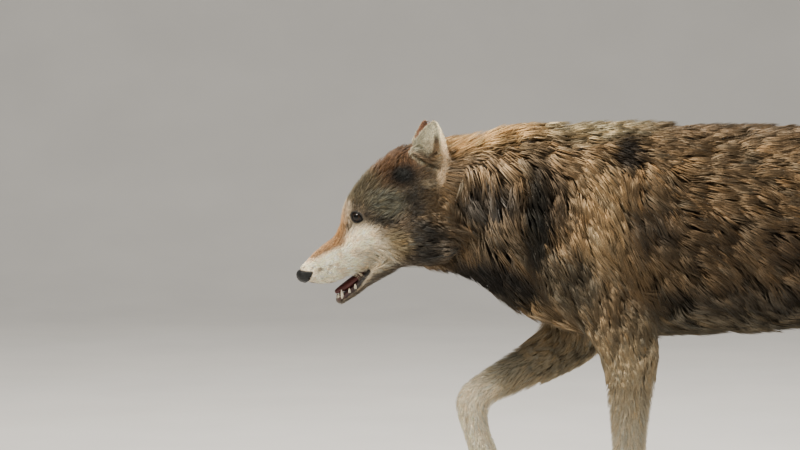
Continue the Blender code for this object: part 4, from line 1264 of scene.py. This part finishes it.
# Nostrils and their slits: x, distance from the middle, z and radius at both ends. NOSE_PAD is the chain
# that fills the leather out.
NOSTRIL = ((-0.689, 0.0078, 0.562, 0.0034), (-0.6865, 0.0122, 0.5608, 0.0038))
NOSTRIL_SLIT = ((-0.685, 0.015, 0.559, 0.0022), (-0.6775, 0.0205, 0.557, 0.0014))
NOSE_PAD = ((-0.6885, 0, 0.56, 0.0115, 0.011, 0.0165, 0), (-0.68, 0, 0.559, 0.0105, 0.0125, 0.0205, 0))
NOSE_BOX = ((-0.725, -0.095, 0.525), (-0.64, 0.01, 0.605))
NOSE_CELL = 0.0009

# Tongue: x, z, half-height, half-width.
TONGUE = (
    (-0.6335, 0.5325, 0.0022, 0.0035),
    (-0.63, 0.5335, 0.0048, 0.006),
    (-0.614, 0.5425, 0.0085, 0.011),
    (-0.599, 0.5535, 0.008, 0.0145),
    (-0.58, 0.568, 0.0065, 0.014),
)
TONGUE_SIDES = 28

# Lower teeth, on both sides: x and distance from the middle at the gum, z there, length, radius. The upper
# ones stay behind the lip.
LOWER_TEETH = (
    (-0.629, 0.003, 0.522, 0.0045, 0.0018),
    (-0.6275, 0.007, 0.523, 0.005, 0.002),
    (-0.622, 0.0115, 0.524, 0.013, 0.003),
    (-0.61, 0.0155, 0.533, 0.006, 0.0024),
    (-0.6, 0.0175, 0.54, 0.0065, 0.0028),
)
TOOTH = ((-0.35, 1.0), (0.1, 1.0), (0.45, 0.82), (0.75, 0.52), (0.93, 0.24), (1.0, 0.08))
TOOTH_LEAN = 0.1  # forwards and outwards, for each unit of length


def on_side(vector, side):
    return np.array((vector[0], vector[1] * side, vector[2]))


def eye_ways(side):
    """The eye's middle, its line of sight, and the ways along and across the opening."""
    return [on_side(v, side) for v in (EYE_PLACE, EYE_GAZE, EYE_LONG, EYE_SHORT)]


def eye(side_name):
    """An eyeball with a bulging cornea; its colours are rings round the line of sight."""
    side = SIDE[side_name]
    middle, gaze, long, short = eye_ways(side)
    theta = np.concatenate([np.linspace(0, 1.1, 34), np.linspace(1.16, np.pi, 12)])
    phi = np.arange(EYE_SPOKES) * 2 * np.pi / EYE_SPOKES
    t, p = np.meshgrid(theta, phi, indexing="ij")
    bulge = CORNEA_HEIGHT * np.exp(-((t / CORNEA_SPREAD) ** 4))
    ways = np.cos(t)[..., None] * gaze
    ways = ways + np.sin(t)[..., None] * (np.cos(p)[..., None] * long + np.sin(p)[..., None] * short)
    points = (middle + ways * (EYE_RADIUS + bulge)[..., None]).reshape(-1, 3)
    a, b, c, d = patches(len(theta), EYE_SPOKES)
    obj = new_object("eyeball_" + side_name, turned(points), np.stack([a, c, d, b], 1)[:, ::-side])
    streak = 0.75 + 0.35 * np.sin(p * 23 + 2 * np.sin(p * 5)) * np.sin(p * 9 + t * 6) + 0.2 * np.sin(t * 40)
    iris = SHADED_IRIS_COLOUR * streak[..., None]
    iris = iris * (0.45 + 0.75 * (1 - step(t, PUPIL * 1.2, IRIS)))[..., None]
    colour = np.where((t < IRIS)[..., None], iris, EYE_WHITE)
    limbus = np.exp(-(((t - IRIS) / LIMBUS_WIDTH) ** 2))[..., None]
    colour = colour * (1 - 0.92 * limbus)
    colour = colour * step(t, PUPIL, PUPIL + 0.05)[..., None] + 0.003
    paint(obj, colour.reshape(-1, 3))
    return obj


def eyelids(side_name):
    """The dark wet rim of the opening."""
    side = SIDE[side_name]
    middle, gaze, long, short = eye_ways(side)
    places = []
    for phi in np.linspace(0, 2 * np.pi, 56, endpoint=False):
        a = math.cos(phi)
        b = math.copysign(1 - abs(a) ** 2.0, math.sin(phi))
        rise = (EYE_RISE if b > 0 else EYE_DROP) * b
        way = gaze + long * (a * EYE_REACH) + short * rise
        places.append(middle + way / np.linalg.norm(way) * (EYE_RADIUS + 0.0005))
    places = np.array(places)
    places = (np.roll(places, 1, 0) + places + np.roll(places, -1, 0)) / 3
    rows = np.column_stack([places, np.full(len(places), LID_RIM)])
    points, faces = sweep(rows[::side], 10, closed=True, centre=middle)
    return new_object("eyelids_" + side_name, turned(points), faces)


def capsule_distance(points, ends):
    """Distance to a rod with round ends, each given as x, y, z and radius."""
    (*a, radius_a), (*b, radius_b) = ends
    run, offset = np.subtract(b, a), points - np.array(a)
    t = np.clip(offset @ run / (run @ run), 0, 1)
    return np.linalg.norm(offset - t[:, None] * run, axis=1) - radius_a - (radius_b - radius_a) * t


NOSE_CHAIN = Chain(NOSE_PAD)


def nose_form(points):
    """The leather: the end of the muzzle, with nostrils that run out into slits, and a groove between."""
    face = unturned(points)
    own = one_sided(face)
    form = hollowed(chains_distance(HEAD_CHAINS, face, False), face)
    form = joined(form, NOSE_CHAIN.distance(face, False)[0], 0.004)
    form = carved(form, -outline_distance(NOSE, face[:, [0, 2]]), 0.003)
    form = carved(form, capsule_distance(own, NOSTRIL), 0.0016)
    form = carved(form, capsule_distance(own, NOSTRIL_SLIT), 0.0014)
    groove = np.maximum(own[:, 1] - 0.0006, np.maximum(face[:, 2] - 0.568, face[:, 0] + 0.676))
    return carved(form, groove, 0.0014)


def nose():
    return new_object("nose_leather", *net(nose_form, *NOSE_BOX, NOSE_CELL))


def teeth():
    parts = []
    for x, y, z, length, radius in LOWER_TEETH:
        for side in SIDE.values():
            rows = []
            for share, width in TOOTH:
                lean = TOOTH_LEAN * length * share * (1 + share)
                rows.append((x - lean, side * (y + lean), z + length * share, radius * width))
            points, faces = sweep(rows, 12)
            parts.append((turned(points), faces))
    return new_object("teeth", *joined_parts(parts))


def tongue():
    """A flat tongue with a groove along its middle, on the floor of the mouth."""
    phi = np.arange(TONGUE_SIDES) * 2 * np.pi / TONGUE_SIDES
    groove = 0.0018 * np.exp(-((np.cos(phi) / 0.22) ** 2)) * (np.sin(phi) > 0)
    rings = []
    for x, z, up, side in smoothed(TONGUE, 5):
        across_mouth, height = side * np.cos(phi), z + up * np.sin(phi) - groove
        rings.append(np.stack([np.full(TONGUE_SIDES, x), across_mouth, height], 1))
    points = np.vstack([*rings, rings[0].mean(0), rings[-1].mean(0)])
    a, b, c, d = patches(len(rings), TONGUE_SIDES)
    faces = np.stack([a, b, d, a, d, c], 1).reshape(-1, 3)
    faces = np.vstack([faces, end_caps(len(rings), TONGUE_SIDES)])
    return new_object("tongue_flesh", turned(points), faces)


def claws():
    parts = []
    for paw in PAWS:
        for sideways, longer in TOES:
            end, spread = TOE[-1][0] + longer, sideways * TOE[-1][1]
            rows = [(-(end + f), spread, height, radius) for f, height, radius in CLAW]
            points, faces = sweep(smoothed(rows, 4), 12)
            parts.append((moved(points, np.array(paw_matrix(paw))), faces))
    return new_object("claws", *joined_parts(parts))


# ---------- materials


class Shader:
    """A Principled material built node by node; spaces in sockets' names are written as underscores."""

    def __init__(self, name):
        self.material = bpy.data.materials.new(name)
        self.material.use_nodes = True
        self.nodes = self.material.node_tree.nodes
        self.links = self.material.node_tree.links
        self.main = self.nodes["Principled BSDF"]

    def put(self, socket, value):
        if isinstance(value, bpy.types.NodeSocket):
            self.links.new(value, socket)
        else:
            socket.default_value = value

    def set(self, node, **inputs):
        for name, value in inputs.items():
            self.put(node.inputs[name.replace("_", " ")], value)

    def node(self, kind, **inputs):
        made = self.nodes.new("ShaderNode" + kind)
        self.set(made, **inputs)
        return made

    def grain(self, scale, low, high, stretch=(1, 1, 1)):
        """Noise in the object's own frame, as values from low to high."""
        place = self.node("TexCoord").outputs["Object"]
        mapping = self.node("Mapping", Vector=place, Scale=stretch)
        rough = self.node("TexNoise", Vector=mapping.outputs["Vector"], Scale=scale, Detail=3.0)
        spread = self.node("MapRange", Value=rough.outputs["Fac"])
        self.set(spread, From_Min=0.3, From_Max=0.7, To_Min=low, To_Max=high)
        return spread.outputs["Result"]

    def cells(self, scale):
        place = self.node("TexCoord").outputs["Object"]
        return self.node("TexVoronoi", Vector=place, Scale=scale).outputs["Distance"]

    def times(self, colour, value):
        made = self.node("VectorMath")
        made.operation = "SCALE"
        self.put(made.inputs[0], colour)
        self.set(made, Scale=value)
        return made.outputs["Vector"]

    def painted(self):
        made = self.node("Attribute")
        made.attribute_name = "Coat"
        return made.outputs["Color"]


# Finishes: the colour, or none for the painted one; the scale, least and greatest value of the grain in the
# colour and in the roughness; the specular level; the scale, strength and depth of the bumps.
FINISHES = {
    "coat": (None, (420, 0.82, 1.18), (160, 0.5, 0.72), 0.18, (900, 0.25, 0.0005)),
    "skin_and_undercoat": (None, (300, 0.75, 1.2), (220, 0.42, 0.62), 0.3, (650, 0.5, 0.0012)),
    "nose_leather": ((0.0075, 0.008, 0.008), (260, 0.6, 1.5), (420, 0.32, 0.48), 0.24, (900, 0.55, 0.0006)),
    "eye": (None, (900, 0.85, 1.15), (300, 0.04, 0.08), 0.25, (500, 0.03, 0.0002)),
    "eyelid": ((0.004, 0.0035, 0.0035), (500, 0.72, 1.2), (850, 0.32, 0.52), 0.08, (1250, 0.35, 0.0006)),
    "tongue": ((0.085, 0.024, 0.022), (420, 0.72, 1.2), (714, 0.32, 0.52), 0.35, (1050, 0.35, 0.0006)),
    "ivory": ((0.4, 0.36, 0.28), (260, 0.72, 1.2), (442, 0.24, 0.39), 0.35, (650, 0.35, 0.0006)),
    "horn": ((0.03, 0.024, 0.02), (300, 0.72, 1.2), (510, 0.28, 0.455), 0.35, (750, 0.35, 0.0006)),
    "studio_floor": ((0.62, 0.61, 0.59), (3, 0.97, 1.03), (8, 0.75, 0.9), 0.5, (60, 0.05, 0.002)),
}
SKIN_FOLDS = (1, 2, 2)  # the bumps of the skin are drawn out along the body


def material(name):
    colour, blotches, gloss, shine, (scale, strength, depth) = FINISHES[name]
    made = Shader(name)
    shade = made.times(colour or made.painted(), made.grain(*blotches))
    made.set(made.main, Base_Color=shade, Roughness=made.grain(*gloss), Specular_IOR_Level=shine)
    if name == "nose_leather":
        height = made.cells(scale)
    else:
        height = made.grain(scale, 0, 1, SKIN_FOLDS if name == "skin_and_undercoat" else (1, 1, 1))
    bump = made.node("Bump", Height=height, Strength=strength, Distance=depth)
    made.set(made.main, Normal=bump.outputs["Normal"])
    return made.material


# ---------- studio

FLOOR_FRONT = 9.0
FLOOR_BACK = 5.0
FLOOR_BEND = 2.5
FLOOR_HALF_WIDTH = 14.0
WALL_TOP = 3.0

# Lights: name, place, what they point at, size, power, colour.
LIGHTS = (
    ("key", (-2.8, -2.5, 4.2), (-0.2, 0, 0.5), 1.4, 480, (1.0, 0.93, 0.82)),
    ("fill", (3.2, -4.0, 1.6), (0, 0, 0.4), 3.0, 60, (1.0, 0.97, 0.93)),
    ("top", (0.3, 1.6, 3.8), (0, 0, 0.5), 2.0, 200, (1.0, 0.95, 0.87)),
)
DAYLIGHT = (0.86, 0.85, 0.83, 1)
DAYLIGHT_STRENGTH = 0.36
CAMERA_AIM = (-0.5241, 0.0009, 0.645)
CAMERA_DISTANCE = 5.7667
CAMERA_TILT = math.radians(4)
LENS_LENGTH = 150


def floor():
    """A plain floor that runs up into a backdrop behind the wolf."""
    profile = [(-FLOOR_FRONT, 0.0), (FLOOR_BACK, 0.0)]
    for i in range(1, 17):
        angle = math.pi / 2 * i / 16
        rise = FLOOR_BEND - FLOOR_BEND * math.cos(angle)
        profile.append((FLOOR_BACK + FLOOR_BEND * math.sin(angle), rise))
    profile.append((FLOOR_BACK + FLOOR_BEND, WALL_TOP))
    points = [(x, y, z) for y, z in profile for x in (-FLOOR_HALF_WIDTH, FLOOR_HALF_WIDTH)]
    faces = [(2 * i, 2 * i + 1, 2 * i + 3, 2 * i + 2) for i in range(len(profile) - 1)]
    obj = new_object("studio_floor", np.array(points) + ORIGIN, faces)
    obj.data.materials.append(material("studio_floor"))
    return obj


def light(name, place, target, size, power, colour):
    lamp = bpy.data.lights.new(name, "AREA")
    lamp.shape = "DISK"
    lamp.size = size
    lamp.energy = power
    lamp.color = colour
    obj = bpy.data.objects.new(name, lamp)
    obj.location = place
    obj.rotation_euler = (Vector(target) - Vector(place)).to_track_quat("-Z", "Y").to_euler()
    bpy.context.scene.collection.objects.link(obj)


def studio():
    for row in LIGHTS:
        light(*row)
    world = bpy.context.scene.world or bpy.data.worlds.new("studio")
    bpy.context.scene.world = world
    world.use_nodes = True
    shade = world.node_tree.nodes["Background"]
    shade.inputs["Color"].default_value = DAYLIGHT
    shade.inputs["Strength"].default_value = DAYLIGHT_STRENGTH


def camera():
    """Seen from the left at the height of the wolf's shoulder, as the wolf walks into the view."""
    lens = bpy.data.cameras.new("camera")
    lens.lens = LENS_LENGTH
    lens.sensor_width = 36
    obj = bpy.data.objects.new("camera", lens)
    x, y, z = CAMERA_AIM
    back, up = CAMERA_DISTANCE * math.cos(CAMERA_TILT), CAMERA_DISTANCE * math.sin(CAMERA_TILT)
    obj.location = (x, y - back, z + up)
    obj.rotation_euler = (math.pi / 2 - CAMERA_TILT, 0, 0)
    bpy.context.scene.collection.objects.link(obj)
    bpy.context.scene.camera = obj


# ---------- the wolf


def unwrapped(obj):
    """Corner places of each face on an unwrap of the skin's own shape."""
    obj.data.uv_layers.new(name="OFBake")
    bpy.context.view_layer.objects.active = obj
    obj.select_set(True)
    bpy.ops.object.mode_set(mode="EDIT")
    bpy.ops.mesh.select_all(action="SELECT")
    bpy.ops.uv.smart_project(angle_limit=1.15, island_margin=0.001)
    bpy.ops.object.mode_set(mode="OBJECT")
    obj.select_set(False)
    places = np.empty(len(obj.data.loops) * 2, np.float32)
    obj.data.uv_layers["OFBake"].data.foreach_get("uv", places)
    return places.reshape(-1, 3, 2)


def finished(obj, finish, slot, *nodes):
    obj.data.materials.append(finish)
    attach(obj, "root")
    if nodes:
        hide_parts(*nodes)
    return obj


FLESH = ["head", "lower_jaw", "neck", "trunk", "tail", "ear_left", "ear_right", *LEGS, *PAWS]

# Kind, whether bent, how many layers of hair, share of tufts that lead a lock and a clump, pieces.
COATS = (("long", True, 11.0, 0.012, 0.15, 5), ("short", False, 4.2, 0.03, 0.22, 4))


def skin_colours(skin):
    """The coat's colours, darker where it is deep, and the flesh of lips and mouth."""
    face = unturned(skin.points)
    inner = (1 - step(np.abs(face[:, 1]), 0.01, 0.024)) * (face[:, 2] < 0.6)
    shade = (0.85 - 0.35 * step(skin.depth, 0.006, 0.015))[:, None]
    bare = skin.bare[:, None]
    return skin.colours * shade * (1 - bare) + mixed(LIP, MOUTH_FLESH, inner) * bare


def build():
    points, faces = skin_mesh()
    body = new_object("skin", points, faces)
    skin = Skin(points, faces, unwrapped(body))
    paint(body, skin_colours(skin))
    finished(body, material("skin_and_undercoat"), "coat", *FLESH)
    fur = material("coat")
    amount = 1.0
    for kind, bent, cover, lock, clump, count in COATS:
        grown = tufts(skin, bent, cover * amount, lock, clump)
        print(kind, "tufts:", len(grown[0]))
        for i, part in enumerate(split(grown, count)):
            finished(tuft_piece(f"coat_{kind}_{i + 1}", part, skin, bent), fur, "coat")
    eye_finish, lid_finish = material("eye"), material("eyelid")
    for side_name in SIDE:
        finished(eye(side_name), eye_finish, "eye", "eye_" + side_name)
        finished(eyelids(side_name), lid_finish, "nose_leather")
    finished(nose(), material("nose_leather"), "nose_leather", "nose")
    finished(tongue(), material("tongue"), "tongue", "tongue")
    finished(teeth(), material("ivory"), "face_coat")
    finished(claws(), material("horn"), "foot_coat")


build()
ground = floor()
studio()
camera()
